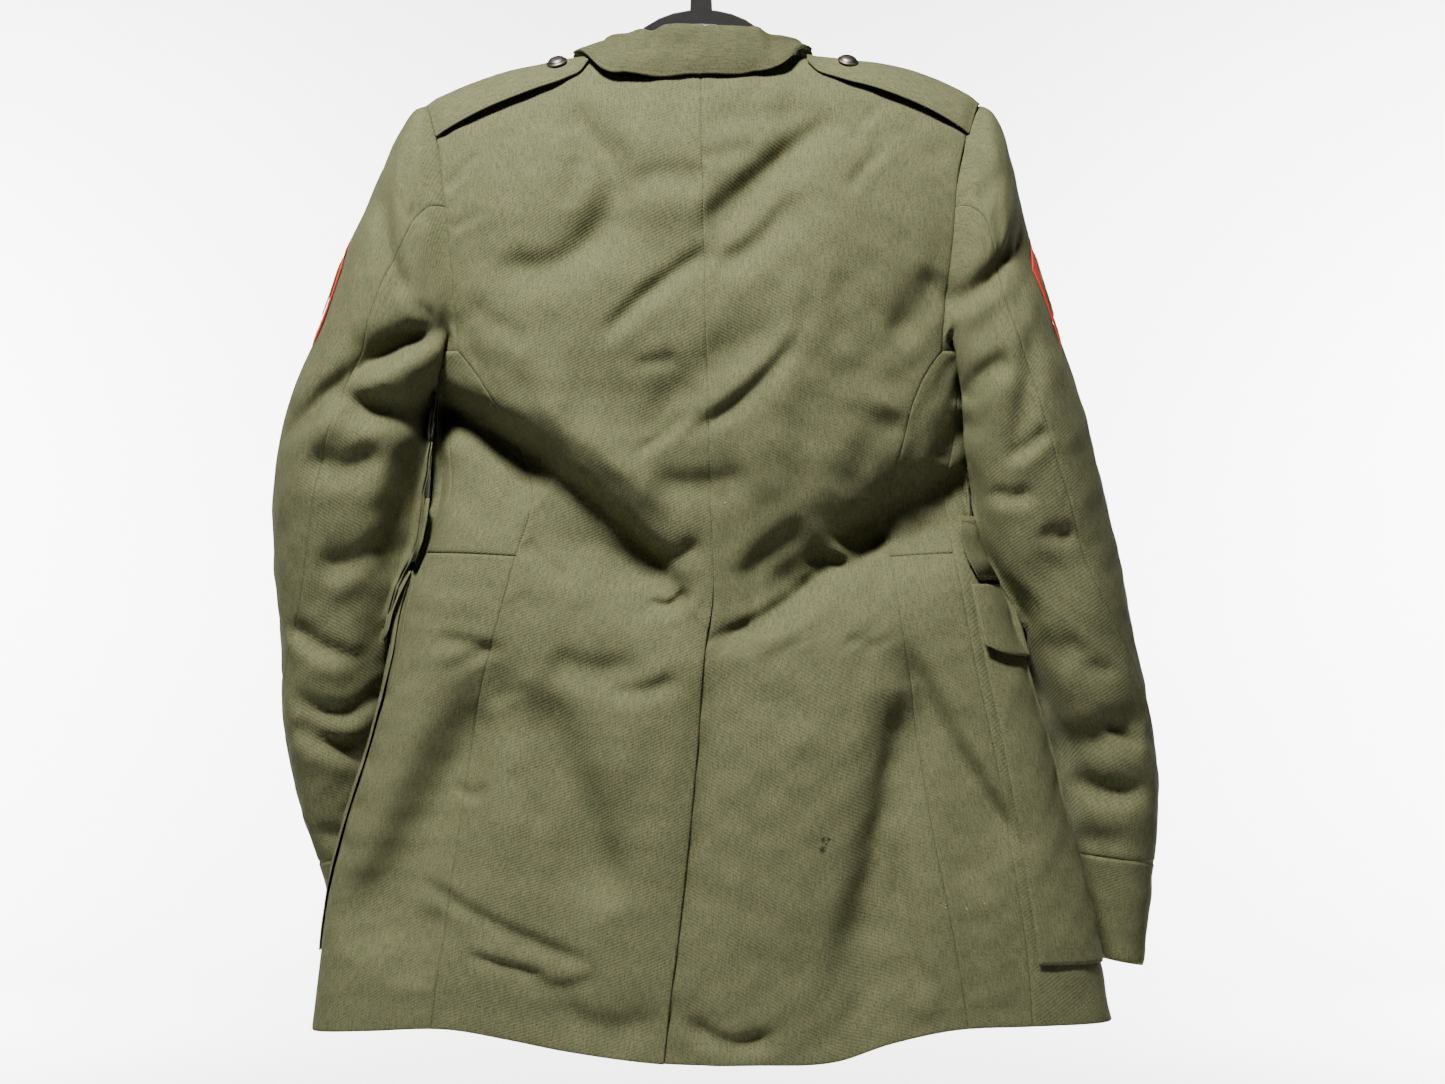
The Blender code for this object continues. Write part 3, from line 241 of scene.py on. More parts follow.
def folds(rows):
    """A table of folds. A row leaves out its last values where they are 0."""
    full = len(FOLD_COLUMNS.split())
    return table(FOLD_COLUMNS, [row + (0,) * (full - len(row)) for row in rows])


# Folds of what faces back: from and to (across, height), sideways bend, half-width, depth, the share
# of the depth that stands up as a lip beside the trough (left of its run above zero), and how much
# steeper its left side is. This first table holds the solids' own folds.
BACK_FOLDS = folds([
    (177, -409, 30, -511, 0.05, 20, 11),
    (-194, -361, -22, -516, -0.06, 18, 10),
    (-104, -150, -119, -261, 0.45, 15, 7),
    (75, -152, -45, -300, 0.08, 17, 6),
    (72, -307, -45, -407, -0.10, 15, 6),
    (-170, -595, -225, -800, 0.05, 26, 10),
    (153, -585, 105, -860, 0.06, 24, 10),
    (153, -585, 226, -740, -0.08, 22, 9),
    (-207, -316, -272, -330, 0.10, 14, 9),
    (-215, -380, -300, -560, 0.08, 24, 8),
    (190, -330, 255, -225, -0.10, 18, 7),
    (238, -560, 300, -470, 0.08, 20, 6),
    (290, -640, 345, -620, 0.15, 16, 9),
])
# Creases that show in the back, one row each.
BACK_CREASES = folds([
    # left shoulder blade
    (-114, -144, -63, -228, 0.17, 13, 6, -0.15),
    (-92, -182, -99, -225, 0.02, 8, 3.4),
    (-156, -264, -72, -236, -0.2, 15, 9, -0.15, 0.2),
    (-54, -206, 9, -204, 0.11, 12, 5.4, 0, 0.1),
    (-18, -161, 7, -189, 0.04, 4, 1.6),
    (-75, -324, 11, -253, 0.04, 7.5, 6.5, -0.35, 0.2),
    (-49, -343, -16, -336, -0.02, 6, 2.7, 0, 0.1),
    (-194, -209, -167, -178, 0.01, 4.5, 2.2, -0.2),
    (-191, -239, -161, -224, -0.01, 4.5, 1.8, -0.2),
    (-178, -294, -127, -330, 0.01, 10, 4.1, 0, 0.1),
    # right shoulder
    (-4, -246, 106, -150, 0.02, 14, 10.5, -0.2, 0.25),
    (8, -270, 72, -209, -0.11, 11, 9, -0.1, 0.1),
    (112, -175, 135, -142, -0, 5, 2.6, -0.2),
    (110, -212, 141, -175, 0.03, 5, 2.6, -0.2),
    (-7, -393, 79, -313, -0.07, 7, 5.5, 0.35, 0.2),
    (72, -324, 94, -249, -0.01, 7, 1.6, 0.2),
    (141, -324, 183, -270, -0.01, 14, 7.8, 0, 0.1),
    (0, -158, 93, -147, -0.01, 12, 3.4, 0, 0.2),
    (0, -188, 45, -176, 0.01, 8, 2.7, 0, 0.1),
    (103, -438, 144, -372, -0.03, 16, 7.6),
    # left drag to the waist
    (-196, -376, -9, -523, 0.07, 16, 21, 0.12, 0.4),
    (-214, -415, -7, -532, -0.01, 22, 9.5),
    (-185, -283, 0, -475, -0, 18, -6.5),
    (121, -197, 48, -459, -0.05, 22, -5),
    (-226, -360, -105, -421, 0.06, 18, 17, 0, 0.35),
    (-209, -408, -127, -448, 0.06, 22, 9, 0, 0.1),
    (-42, -518, -10, -509, -0.3, 6, 6.8, -0.4, 0.3),
    (-135, -360, -18, -450, -0.02, 11, -4.8),
    (-37, -478, -3, -471, -0.34, 8, 5.4, 0, 0.2),
    (-52, -408, -10, -376, -0.09, 5, 2.7, -0.3, 0.1),
    (-40, -429, 38, -424, -0.07, 13, 5.8, 0, 0.2),
    (-135, -474, -99, -504, -0.02, 6, 3.1),
    # right drag to the waist
    (109, -482, 213, -421, 0.01, 22, 23, 0, 0.2),
    (33, -527, 207, -459, 0.01, 22, 16, 0, 0.2),
    (79, -438, 154, -354, -0.08, 20, -5),
    (103, -465, 145, -465, -0.33, 6, 7.6, -0.45, 0.2),
    (79, -489, 132, -486, -0.07, 9, 5.8, -0.2, 0.2),
    (5, -551, 99, -494, -0.06, 9, 8.5, -0.3, 0.25),
    (29, -510, 81, -460, 0.05, 10, 5.8, 0, 0.1),
    (33, -543, 62, -539, -0.07, 4, 1.9, 0, 0.1),
    (109, -548, 133, -553, -0.01, 5, 1.9),
    # left skirt
    (-202, -548, -154, -558, 0.05, 7, 4.4, -0.2, 0.2),
    (-194, -576, -160, -558, 0.04, 5, 2.4, 0.2),
    (-161, -548, -144, -598, -0.04, 14, 5.4),
    (-115, -559, -42, -565, -0.13, 14, 7.1, -0.2, 0.2),
    (-70, -585, -16, -575, -0.13, 7, 5.1, 0.25, 0.1),
    (-150, -566, -266, -788, 0.01, 26, 24),
    (-202, -586, -260, -743, -0, 16, -5),
    (-187, -658, -161, -657, -0.32, 5, 4.1, -0.4, 0.2),
    (-144, -644, -117, -692, -0.01, 7, 3.4),
    (-129, -578, -63, -754, 0.01, 27, 20, 0, 0.2),
    (-220, -726, -73, -793, -0.02, 6, 3.7, 0.2, 0.1),
    (-175, -782, -114, -798, -0.01, 5, 3.6, 0.35, 0.3),
    (-129, -800, -72, -794, -0.16, 7, 3, 0.1, 0.2),
    (-115, -806, -22, -824, -0.24, 16, 6, 0, 0.2),
    (-266, -779, -223, -759, -0.06, 9, 4.4),
    (-196, -749, -226, -809, 0, 12, 5.1),
    # right skirt
    (156, -586, 106, -807, 0.01, 16, 10.5, 0, -0.2),
    (153, -548, 244, -711, -0.03, 12, 14, 0, 0.3),
    (150, -700, 166, -812, -0.04, 7, 5.1),
    (-13, -825, 60, -837, -0.23, 8, 5.8, -0.2, 0.2),
    (12, -554, -10, -780, 0.01, 15, 6.5),
    (60, -593, 68, -788, 0.06, 30, -5),
    # left sleeve
    (-222, -177, -209, -237, -0.05, 5, 3.5, -0.2, 0.1),
    (-227, -209, -216, -235, -0.09, 4, 2.4),
    (-242, -201, -220, -293, -0.06, 8, 6.5, 0.25),
    (-214, -296, -198, -305, -0.04, 5, 3, 0, 0.1),
    (-321, -404, -180, -308, 0.08, 10, 12, -0.4, 0.15),
    (-280, -363, -174, -374, -0.07, 13, 17, -0.15, 0.2),
    (-297, -408, -238, -404, -0.19, 13, 7.8, -0.2, 0.2),
    (-198, -364, -236, -511, -0.01, 15, 16, 0, -0.3),
    (-233, -489, -274, -595, 0.08, 15, 10, 0, -0.1),
    (-233, -398, -280, -526, 0.07, 14, -5),
    (-292, -490, -236, -473, -0.13, 12, 7.8, -0.2, 0.2),
    (-315, -534, -262, -562, -0.12, 8, 7.8, -0.4, 0.1),
    (-315, -587, -242, -579, -0.31, 9, 8.5, -0.4, 0.2),
    (-313, -611, -245, -643, -0.05, 9, 9.2, -0.3, 0.1),
    (-277, -687, -254, -668, -0.04, 5, 3, 0.2),
    (-295, -692, -263, -701, -0.19, 7, 3.7, 0, 0.1),
    (-253, -595, -233, -590, -0.04, 4, 2.2),
    # right sleeve
    (183, -296, 242, -245, -0.1, 9, 10.2, -0.2, 0.1),
    (209, -221, 230, -191, -0, 8, 3.7),
    (200, -372, 236, -337, 0.14, 10, 8.5, -0.2, 0.1),
    (182, -416, 206, -378, 0.03, 10, 9.2),
    (250, -308, 232, -420, 0.04, 9, 5),
    (232, -411, 262, -389, -0.06, 6, 4.8, -0.4, 0.1),
    (221, -433, 250, -434, -0.24, 7, 5.4, -0.3, 0.2),
    (257, -464, 286, -465, -0.2, 8, 4.8, -0.2, 0.1),
    (253, -549, 291, -548, -0.26, 14, 6.1, 0, 0.1),
    (210, -466, 280, -720, 0.05, 12, 10),
    (280, -607, 345, -660, -0.39, 14, 8, -0.2, 0.1),
    (291, -651, 347, -661, -0.23, 8, 4, 0, 0.2),
    (309, -611, 344, -633, -0.02, 6, 3.7),
    (294, -567, 318, -571, -0.14, 6, 3.1),
    (286, -699, 329, -700, -0.17, 10, 4.4, 0, 0.1),
    # broad soft ones
    (-90, -216, 9, -243, -0.18, 24, 7),
    (-105, -372, 0, -351, -0.08, 24, 5),
    (230, -489, 295, -640, 0.05, 13, -4),
    (0, -548, -75, -668, -0.02, 22, -4),
])
# Similar ones on the hidden front.
FRONT_CREASES = folds([
    (150, -300, 60, -420, 0.06, 16, 7.5, 0.3),
    (-150, -300, -60, -430, -0.06, 16, 7.5, -0.3),
    (168, -262, 112, -330, 0.1, 9, 4.5, 0.3),
    (-170, -250, -104, -318, -0.12, 8, 3.9, -0.3),
    (176, -215, 140, -240, 0.05, 6, 2.7),
    (-176, -222, -136, -236, -0.05, 6, 2.7),
    (30, -352, 96, -338, 0.08, 7, 2.7, 0.2),
    (-26, -356, -84, -372, 0.08, 7, 2.7, 0.2),
    (28, -412, 120, -432, -0.06, 9, 3.6, 0.2),
    (-30, -414, -130, -402, 0.06, 9, 3.3, 0.2),
    (40, -446, 150, -455, 0.04, 8, 4.2, 0.2, 0.1),
    (-36, -448, -156, -452, -0.05, 8, 4.5, 0.2, 0.1),
    (120, -540, 150, -820, 0.04, 22, 9, 0.2),
    (-120, -540, -160, -820, -0.04, 24, 9, -0.2),
    (60, -560, 62, -840, 0.03, 20, 6, 0.2),
    (-70, -560, -60, -840, -0.03, 20, 6, 0.2),
    (40, -640, 110, -700, 0.1, 10, 3, 0.2),
    (-44, -690, -120, -730, 0.12, 9, 3, 0.2),
    (-215, -350, -290, -420, 0.1, 14, 9, 0.3),
    (215, -350, 270, -430, -0.1, 14, 9, 0.3),
    (-222, -300, -276, -330, 0.12, 9, 6, 0.3),
    (216, -296, 262, -330, -0.12, 9, 6, 0.3),
    (-226, -470, -300, -500, 0.12, 12, 6, 0.3),
    (232, -480, 316, -512, -0.12, 12, 6, 0.3),
    (-250, -560, -310, -600, 0.12, 12, 9, 0.3),
    (270, -560, 330, -610, -0.12, 12, 9, 0.3),
    (-245, -640, -300, -680, 0.12, 10, 6, 0.3),
    (285, -660, 345, -690, -0.12, 10, 6, 0.3),
    (-236, -720, -284, -735, 0.1, 8, 3.6, 0.2),
    (290, -725, 340, -745, -0.1, 8, 3.6, 0.2),
])
# The collar's own, on its fall.
COLLAR_CREASES = folds([
    (-36, -78, -39, -104, 0.02, 4, 1.5, -0.3),
    (-44, -97, 0, -98, 0.02, 8, 1.8),
    (48, -96, 92, -104, 0.02, 7, 1.2),
    (-92, -104, -62, -96, 0.05, 6, 1.0),
])
# Where the collar's crest dips.
CREST_DIPS = table("x deep width", [(-36, 4.2, 6.5), (-54, 1.5, 8), (43, -1.5, 4), (52, 1.6, 6)])
# The collar: seam on the neckline, crest and outer edge as places on the shoulders' form.
COLLAR = table("along seam_x seam_q stand edge_x edge_q", [
    (0.0, 0, -46, 24, 0, -67),
    (0.22, 34, -39, 22, 40, -62),
    (0.4, 60, -20, 11, 70, -40),
    (0.5, 71, -6, 7, 86, -6),
    (0.6, 72, 8, 6.5, 93, 16),
    (0.8, 66, 34, 6, 99, 45),
    (1.0, 57, 60, 4, 100, 74),
])
STAND_ROWS = 10
STAND_LEAN = 0.12
FALL_ROWS = 30
FALL_ARC = (-80, 55, 12)  # first and last angle and number of points of its turn over the stand
FALL_FULL = 2.0
FALL_FACING = (0.0, 0.3)  # its creases begin and are full as it faces back by these
CREASED_ROWS = (6, 16)  # and between these of its columns, from the crest out
DIPS_TO = 0.7  # share of the way round up to which the crest dips
COLLAR_LIFT = 9.0  # outside of the fall's edge above the shoulders, with the straps under it
COLLAR_CLOSER = 4.8  # the middle of the fall lies nearer the back than on the plain solid
CLOSER_MIDDLE, CLOSER_HALF, CLOSER_SLOPE = 6.0, 64.0, 34.0
# How far the fall's edge climbs at places across the back.
COLLAR_RISE = table("across up", [
    (-90, 0), (-76, 1.5), (-57, 6), (-22, 6), (-8, 7), (40, 8.5), (56, 6.5), (68, 3), (80, 0),
])
LEAST_RISE = 0.05
COLLAR_SHIFT = -6.0  # the fall has slipped to the left
NECK_SHIFT = 3.5  # the neck sits a little to the right
LAPEL = table("level outer", [
    (-150, 62), (-166, 100), (-180, 121), (-188, 120), (-250, 86), (-300, 48), (-331, 14),
])
STRAP = table("along across back front lift", [
    (0.0, 210.5, -45, 16, 2.2),
    (0.12, 201, -45, 16, 2.8),
    (0.35, 168, -44, 15, 4.5),
    (0.65, 128, -40, 12, 4.2),
    (0.85, 102, -35, 9, 1.9),
    (0.94, 91, -30, 5, 1.2),
    (1.0, 85, -20, -6, 1.5),
])
STRAP_SLANT = 0.24  # its outer end follows the armhole
STRAP_WALL = 1.6
STRAP_BUTTON = 0.79
STRAP_SEWN = 0.12  # share of its length that goes down into the armhole's seam
STRAP_SUNK, STRAP_OUT = 2.4, 1.5  # how far down and out that end goes
STRAP_TUCK_FROM = 0.8
STRAP_BACK_LIFT, STRAP_TILT = 1.25, 0.5  # its rear edge stands off more than its front edge
STRAP_ROWS = 90
STRIP_COLUMNS = 34  # of straps and lapels
STRAP_BUTTON_SHARE = 0.45
STRAP_BUTTON_LIFT = 0.9
SMALL_BUTTON = 8.0
LAPEL_ROWS = 90
LAPEL_GAP = 0.5
LAPEL_ROLL, LAPEL_ROLL_SHARE = 1.6, 1.6
SHOULDER_DROP, SHOULDER_POINTS = 130, 160  # how far below the ridge its form is measured
STRAP_TUCK = 7.0  # the right strap's inner end reaches under the collar
POCKET_TOP = -512.0
POCKET_BOTTOM = -797.0
POCKET_WIDE = 192.0
POCKET_ROWS = 110
POCKET_START = 7  # from the side seam
POCKET_PUFF = 3.5
FLAP_DEEP = 56.0
FLAP_WIDE = 197.0
FLAP_ABOVE = 6  # the flap begins this far above the pocket
FLAP_ROWS = 28
FLAP_START = 5
FLAP_TUCK = 9  # its lower corners are rounded up by this
FLAP_LIFT = 4.4
FLAP_RISE = (-0.15, 0.7)  # shares of the way down between which it comes off the pocket
FLAP_BUTTON_ROW = 21
FLAP_BUTTON_LIFT = 2.2
POCKET_LIFT = 2.7  # outside of the patch above the front piece at its edges
SIDE_TILT = -0.024  # waist pieces hang lower to the right
BELT_LEVEL = -476.0
BELT_WIDE = 50.0
BELT_TILT = -0.034
BELT_ROOM = 2.5
BELT_LINES = 4
BELT_COLUMNS = 140
BELT_START = 0.06  # the ring's angle from the side seam to its end
BELT_OVER, BELT_OVER_COLUMNS = 0.75, 50  # how far the right end crosses over
BELT_RISE, BELT_RISE_FROM, BELT_SLOPE = 3.0, 42, 26  # how it rises over the left end
BELT_SHORT = 8  # columns that the left end stops before the middle
BUTTON_LIFT = 1.8
# Chevrons, in rows of the arm's table and degrees round it.
CHEVRON_TOP, CHEVRON_POINT, CHEVRON_HALF = 3.35, 0.62, 35.0
CHEVRON_REAR = {-1: 23.0, 1: 26.0}  # rear end on the left and the right arm
CHEVRON_ROWS, CHEVRON_COLUMNS = 22, 48
CHEVRONS = (
    ("chevron_base", 0.0, 0.98, THIN + 0.15, "red"),
    ("chevron_stripe", 5.0, 0.42, 2 * THIN + 0.4, "green"),
)

BUTTONS = table("x level radius", [(8, -352, 11), (8, -412, 11), (8, -546, 11), (8, -604, 11)])

COLLAR_FINE = 220
POCKET_FINE = 60
BUTTON_FINE = 40
# A button's outline, in shares of its radius.
PROFILE = table("out up", [
    (0.96, 0.0), (1.0, 0.05), (1.0, 0.12), (0.96, 0.17), (0.90, 0.18), (0.86, 0.20), (0.84, 0.26),
    (0.76, 0.36), (0.62, 0.45), (0.44, 0.51), (0.22, 0.545), (0.06, 0.555),
])
CAMERA_AT = (17.0, -2300.0, -475.0)
LENS = 74.07
SENSOR = 36.0


def follow(rows, name, at):
    """Smooth curve through a column of a table, at the given places."""
    x, y = rows[next(iter(rows))], rows[name]
    if x[0] > x[-1]:
        x, y = x[::-1], y[::-1]
    slope = np.gradient(y, x)
    at = np.clip(at, x[0], x[-1])
    i = np.clip(np.searchsorted(x, at) - 1, 0, len(x) - 2)
    step = x[i + 1] - x[i]
    t = (at - x[i]) / step
    rise = (3 - 2 * t) * t * t
    first = ((t - 2) * t + 1) * t * step * slope[i]
    second = (t - 1) * t * t * step * slope[i + 1]
    return y[i] * (1 - rise) + y[i + 1] * rise + first + second


def ease(value, low, high):
    """0 below low, 1 above high, and smooth between."""
    t = np.clip((value - low) / (high - low), 0, 1)
    return t * t * (3 - 2 * t)


def sided(rows, side, level):
    """The left or the right column of a table."""
    return follow(rows, "left" if side < 0 else "right", level)


def power(value, exponent):
    return np.sign(value) * np.abs(value) ** exponent


def half_width(x, level):
    return np.where(x < 0, follow(BODY, "left", level), follow(BODY, "right", level))


def depth(x, level, front):
    """How far the coat lies from its widest line, at the front or the back."""
    square = SQUARE_FRONT if front else SQUARE_BACK
    deep = follow(BODY, "front" if front else "back", level)
    deep = deep - (1 if front else -1) * follow(BODY, "widest", level)
    inside = np.clip(1 - np.abs(x / half_width(x, level)) ** square, 0, 1)
    below = np.clip((follow(RIDGE, "height", x) - level) / ROLL, 0, 1)
    return deep * inside ** (1 / square) * np.sqrt(1 - (1 - below) ** 2)


def hem_shift(x, level, front):
    """How much lower or higher than its level a place hangs, which grows down to the hem."""
    share = np.clip((level - CHEST) / (HEM_LEVEL - CHEST), 0, 1.1)
    return (follow(HEM, "front" if front else "back", x) - HEM_LEVEL) * share


def unit(vectors):
    return vectors / np.maximum(np.linalg.norm(vectors, axis=-1, keepdims=True), 1e-9)


def face(x, level, front):
    """Places on the coat's front or back, and the way out of it there."""
    x, level = np.broadcast_arrays(np.asarray(x, float), np.asarray(level, float))
    step = 0.5
    deep = depth(x, level, front)
    by_x = (depth(x + step, level, front) - depth(x - step, level, front)) / (2 * step)
    by_z = (depth(x, level + step, front) - depth(x, level - step, front)) / (2 * step)
    by_z = by_z * ease(level, CHEST, CHEST + RISE_CALM)
    way = 1 if front else -1
    y = follow(BODY, "widest", level) + way * (deep + RIDGE_GAP)
    place = np.stack([x, y, level + hem_shift(x, level, front)], -1)
    flat = unit(np.stack([-by_x, np.full_like(x, way), -by_z], -1))
    over = ease(follow(RIDGE, "height", x) - level, 0, RIDGE_CALM)
    return place, unit(flat * np.stack([0 * x + 1, over, 0 * x + 1], -1))


def back_angle(x, level):
    """The ring's angle from the centre back to a place on the back."""
    return np.arcsin(np.clip(np.abs(x) / half_width(x, level), 0, 0.999) ** (SQUARE_BACK / 2))


def front_angle(x, level):
    share = np.clip(np.abs(x) / half_width(x, level), 0, 0.999)
    return math.pi - np.arcsin(share ** (SQUARE_FRONT / 2))


def ring(side, angle, level):
    """Places round the coat below the armholes, by the angle from the centre back."""
    angle, level = np.broadcast_arrays(np.asarray(angle, float), np.asarray(level, float))
    wide = sided(BODY, side, level)
    front = angle > math.pi / 2
    square = np.where(front, SQUARE_FRONT, SQUARE_BACK)
    middle = follow(BODY, "widest", level)
    deep = np.where(front, follow(BODY, "front", level) - middle, follow(BODY, "back", level) + middle)
    out, away = np.sin(angle), -np.cos(angle)
    x = side * wide * np.abs(out) ** (2 / square)
    y = deep * power(away, 2 / square)
    shift = np.where(front, hem_shift(x, level, True), hem_shift(x, level, False))
    way_x = side * np.abs(x / wide) ** (square - 1) / wide
    way_y = np.sign(away) * np.abs(y / deep) ** (square - 1) / deep
    y = y + middle + RIDGE_GAP * np.sign(away) * (1 - np.abs(out))
    return np.stack([x, y, level + shift], -1), unit(np.stack([way_x, way_y, 0 * x], -1))


def round_the_ring(side, angle, level, length):
    """The angle that lies a length forward along the ring."""
    steps = np.linspace(0.0, math.pi - RING_END, RING_STEPS)
    places, _ = ring(side, steps[None, :], np.asarray(level)[:, None])
    far = np.cumsum(np.linalg.norm(np.diff(places, axis=1), axis=2), axis=1)
    far = np.concatenate([np.zeros((len(far), 1)), far], axis=1)
    return np.array([
        np.interp(np.interp(a, steps, row) + length, row, steps) for a, row in zip(angle, far)
    ])


def closer(count, amount=CLOSE):
    """Shares from 0 to 1 that lie closer together towards both ends."""
    even = np.linspace(0, 1, count + 1)
    return even - amount * np.sin(2 * math.pi * even) / (2 * math.pi)


def fold_depth(rows, x, z):
    """How far the folds of a table take the cloth in, by the place seen from behind."""
    x, z = np.broadcast_arrays(np.asarray(x, float), np.asarray(z, float))
    total = np.zeros(x.shape)
    steps = np.linspace(0, 1, FOLD_POINTS)
    for i in range(len(rows["x0"])):
        x0, z0, x1, z1, bend, width, deep, lip, skew = (rows[name][i] for name in rows)
        middle_x = (x0 + x1) / 2 - bend * (z1 - z0) * 2
        middle_z = (z0 + z1) / 2 + bend * (x1 - x0) * 2
        line_x = (1 - steps) ** 2 * x0 + 2 * steps * (1 - steps) * middle_x + steps**2 * x1
        line_z = (1 - steps) ** 2 * z0 + 2 * steps * (1 - steps) * middle_z + steps**2 * z1
        reach = FOLD_REACH * width
        near = (x > line_x.min() - reach) & (x < line_x.max() + reach)
        near &= (z > line_z.min() - reach) & (z < line_z.max() + reach)
        if not near.any():
            continue
        px, pz = x[near], z[near]
        nearest, where, hand = np.full(px.shape, 1e9), np.zeros(px.shape), np.zeros(px.shape)
        for k in range(len(steps) - 1):
            run_x, run_z = line_x[k + 1] - line_x[k], line_z[k + 1] - line_z[k]
            dx, dz = px - line_x[k], pz - line_z[k]
            t = np.clip((dx * run_x + dz * run_z) / (run_x**2 + run_z**2), 0, 1)
            gap = np.hypot(dx - t * run_x, dz - t * run_z)
            better = gap < nearest
            where = np.where(better, (k + t) / (len(steps) - 1), where)
            hand = np.where(better, np.sign(run_x * dz - run_z * dx), hand)
            nearest = np.where(better, gap, nearest)
        fade = ease(where, FADE_FROM, FADE_FULL) * ease(1 - where, FADE_FROM, FADE_FULL)
        trough = np.exp(-((nearest / (width * (1 - skew * hand))) ** 2))
        away = (hand * nearest - LIP_AWAY * width * np.sign(lip)) / (LIP_WIDE * width)
        total[near] += deep * fade * (trough - abs(lip) * np.exp(-(away**2)))
    return total


def ripple(u, v, seed):
    """Slight unevenness of hanging wool, the same on each run."""
    draw = np.random.default_rng(seed)
    total = np.zeros(np.broadcast(u, v).shape)
    for _ in range(RIPPLE_WAVES):
        length = RIPPLE_SIZE * draw.uniform(*RIPPLE_SPREAD)
        angle, phase = draw.uniform(0, math.pi), draw.uniform(0, 2 * math.pi)
        total += np.sin(2 * math.pi * (u * math.cos(angle) + v * math.sin(angle)) / length + phase)
    return RIPPLE_HIGH * total / math.sqrt(RIPPLE_WAVES / 2)


def folded(place, way, lift=0.0):
    """The places moved in by the folds and out by the lift."""
    back = ease(-way[..., 1], FACING_FROM, FACING)
    front = ease(way[..., 1], FACING_FROM, FACING)
    x, z = place[..., 0], place[..., 2]
    place = place + way * (lift - fold_depth(BACK_FOLDS, x, z) * back)[..., None]
    # The creases move straight in, so the outline stays and sewn edges keep together.
    into = fold_depth(BACK_CREASES, x, z) * back - fold_depth(FRONT_CREASES, x, z) * front
    return place + into[..., None] * INWARD


def lengths(place, axis):
    """Lengths along the grid's lines from their start."""
    far = np.cumsum(np.linalg.norm(np.diff(place, axis=axis), axis=2), axis=axis)
    pad = [(1, 0) if k == axis else (0, 0) for k in range(2)]
    return np.pad(far, pad)


def in_scene(name, data):
    """A new object in the scene."""
    thing = bpy.data.objects.new(name, data)
    bpy.context.scene.collection.objects.link(thing)
    return thing


def mesh_piece(name, points, faces, material, maps=None):
    """A new object from points in millimetres, with its weave map in metres."""
    mesh = bpy.data.meshes.new(name)
    points = np.asarray(points, float) * MM
    sizes = np.array([len(f) for f in faces])
    corners = np.concatenate([np.asarray(f) for f in faces]).astype(np.int32)
    mesh.vertices.add(len(points))
    mesh.vertices.foreach_set("co", points.astype(np.float32).ravel())
    mesh.loops.add(len(corners))
    mesh.loops.foreach_set("vertex_index", corners)
    mesh.polygons.add(len(sizes))
    mesh.polygons.foreach_set("loop_start", np.concatenate([[0], np.cumsum(sizes)[:-1]]).astype(np.int32))
    mesh.polygons.foreach_set("use_smooth", [True] * len(sizes))
    if maps is not None:
        layer = mesh.uv_layers.new(name="weave")
        layer.data.foreach_set("uv", np.asarray(maps)[corners].astype(np.float32).ravel())
    mesh.update(calc_edges=True)
    mesh.validate()
    mesh.materials.append(material)
    return in_scene(name, mesh)


def grid_cells(rows, columns, around, present):
    """Cells of a grid as an array of four corners each."""
    index = np.arange(rows * columns).reshape(rows, columns)
    ahead = np.roll(index, -1, axis=1) if around else index[:, 1:]
    here = index if around else index[:, :-1]
    cells = np.stack([here[:-1], ahead[:-1], ahead[1:], here[1:]], -1)
    if present is not None:
        return cells[present]
    return cells.reshape(-1, 4)


def groove(place, way, seams, seed):
    """The places near the named edges drawn in as at a sewn seam, with slight puckers."""
    across, along = lengths(place, 1), lengths(place, 0)
    gaps = {"first": across, "last": across[:, -1:] - across, "top": along, "low": along[-1:] - along}
    draw = np.random.default_rng(seed)
    sink = np.zeros(across.shape)
    for edge in seams:
        gap = gaps[edge]
        run = along if edge in ("first", "last") else across
        wave = np.zeros(across.shape)
        for _ in range(PUCKER_WAVES):
            turn = 2 * math.pi * run / draw.uniform(*PUCKER_LENGTHS)
            wave = wave + np.sin(turn + draw.uniform(0, PUCKER_PHASE))
        sink += GROOVE_DEEP * np.exp(-((gap / GROOVE_WIDE) ** 2))
        sink += PUCKER_HIGH * wave * np.exp(-gap / PUCKER_REACH) * (1 - np.exp(-gap / PUCKER_START))
    return place - way * sink[..., None]


def uneven(node, place, way, around, seams, rough):
    """The outer places with slight unevenness, calm at the edges, and with grooves at sewn seams."""
    seed = sum(ord(letter) for letter in node)
    u, along = lengths(place, 1), lengths(place, 0)
    v = along.mean(axis=1, keepdims=True) + 0 * along
    near = along
    if not around:
        near = np.minimum(np.minimum(u, u[:, -1:] - u), np.minimum(along, along[-1:] - along))
    calm = rough * ease(near, 0, EDGE_CALM)
    place = place + way * (calm * (ripple(u, v, seed) - RIPPLE_SINK))[..., None]
    return groove(place, way, seams, seed) if seams else place, u, v


def open_edges(cells, count):
    """The cells' sides that have no neighbour, as two arrays of corners."""
    corner = np.concatenate([cells, np.roll(cells, -1, axis=1)]).reshape(2, -1, 4)
    a, b = corner[0].ravel(), corner[1].ravel()
    rim = ~np.isin(a * count + b, b * count + a)
    return a[rim], b[rim]


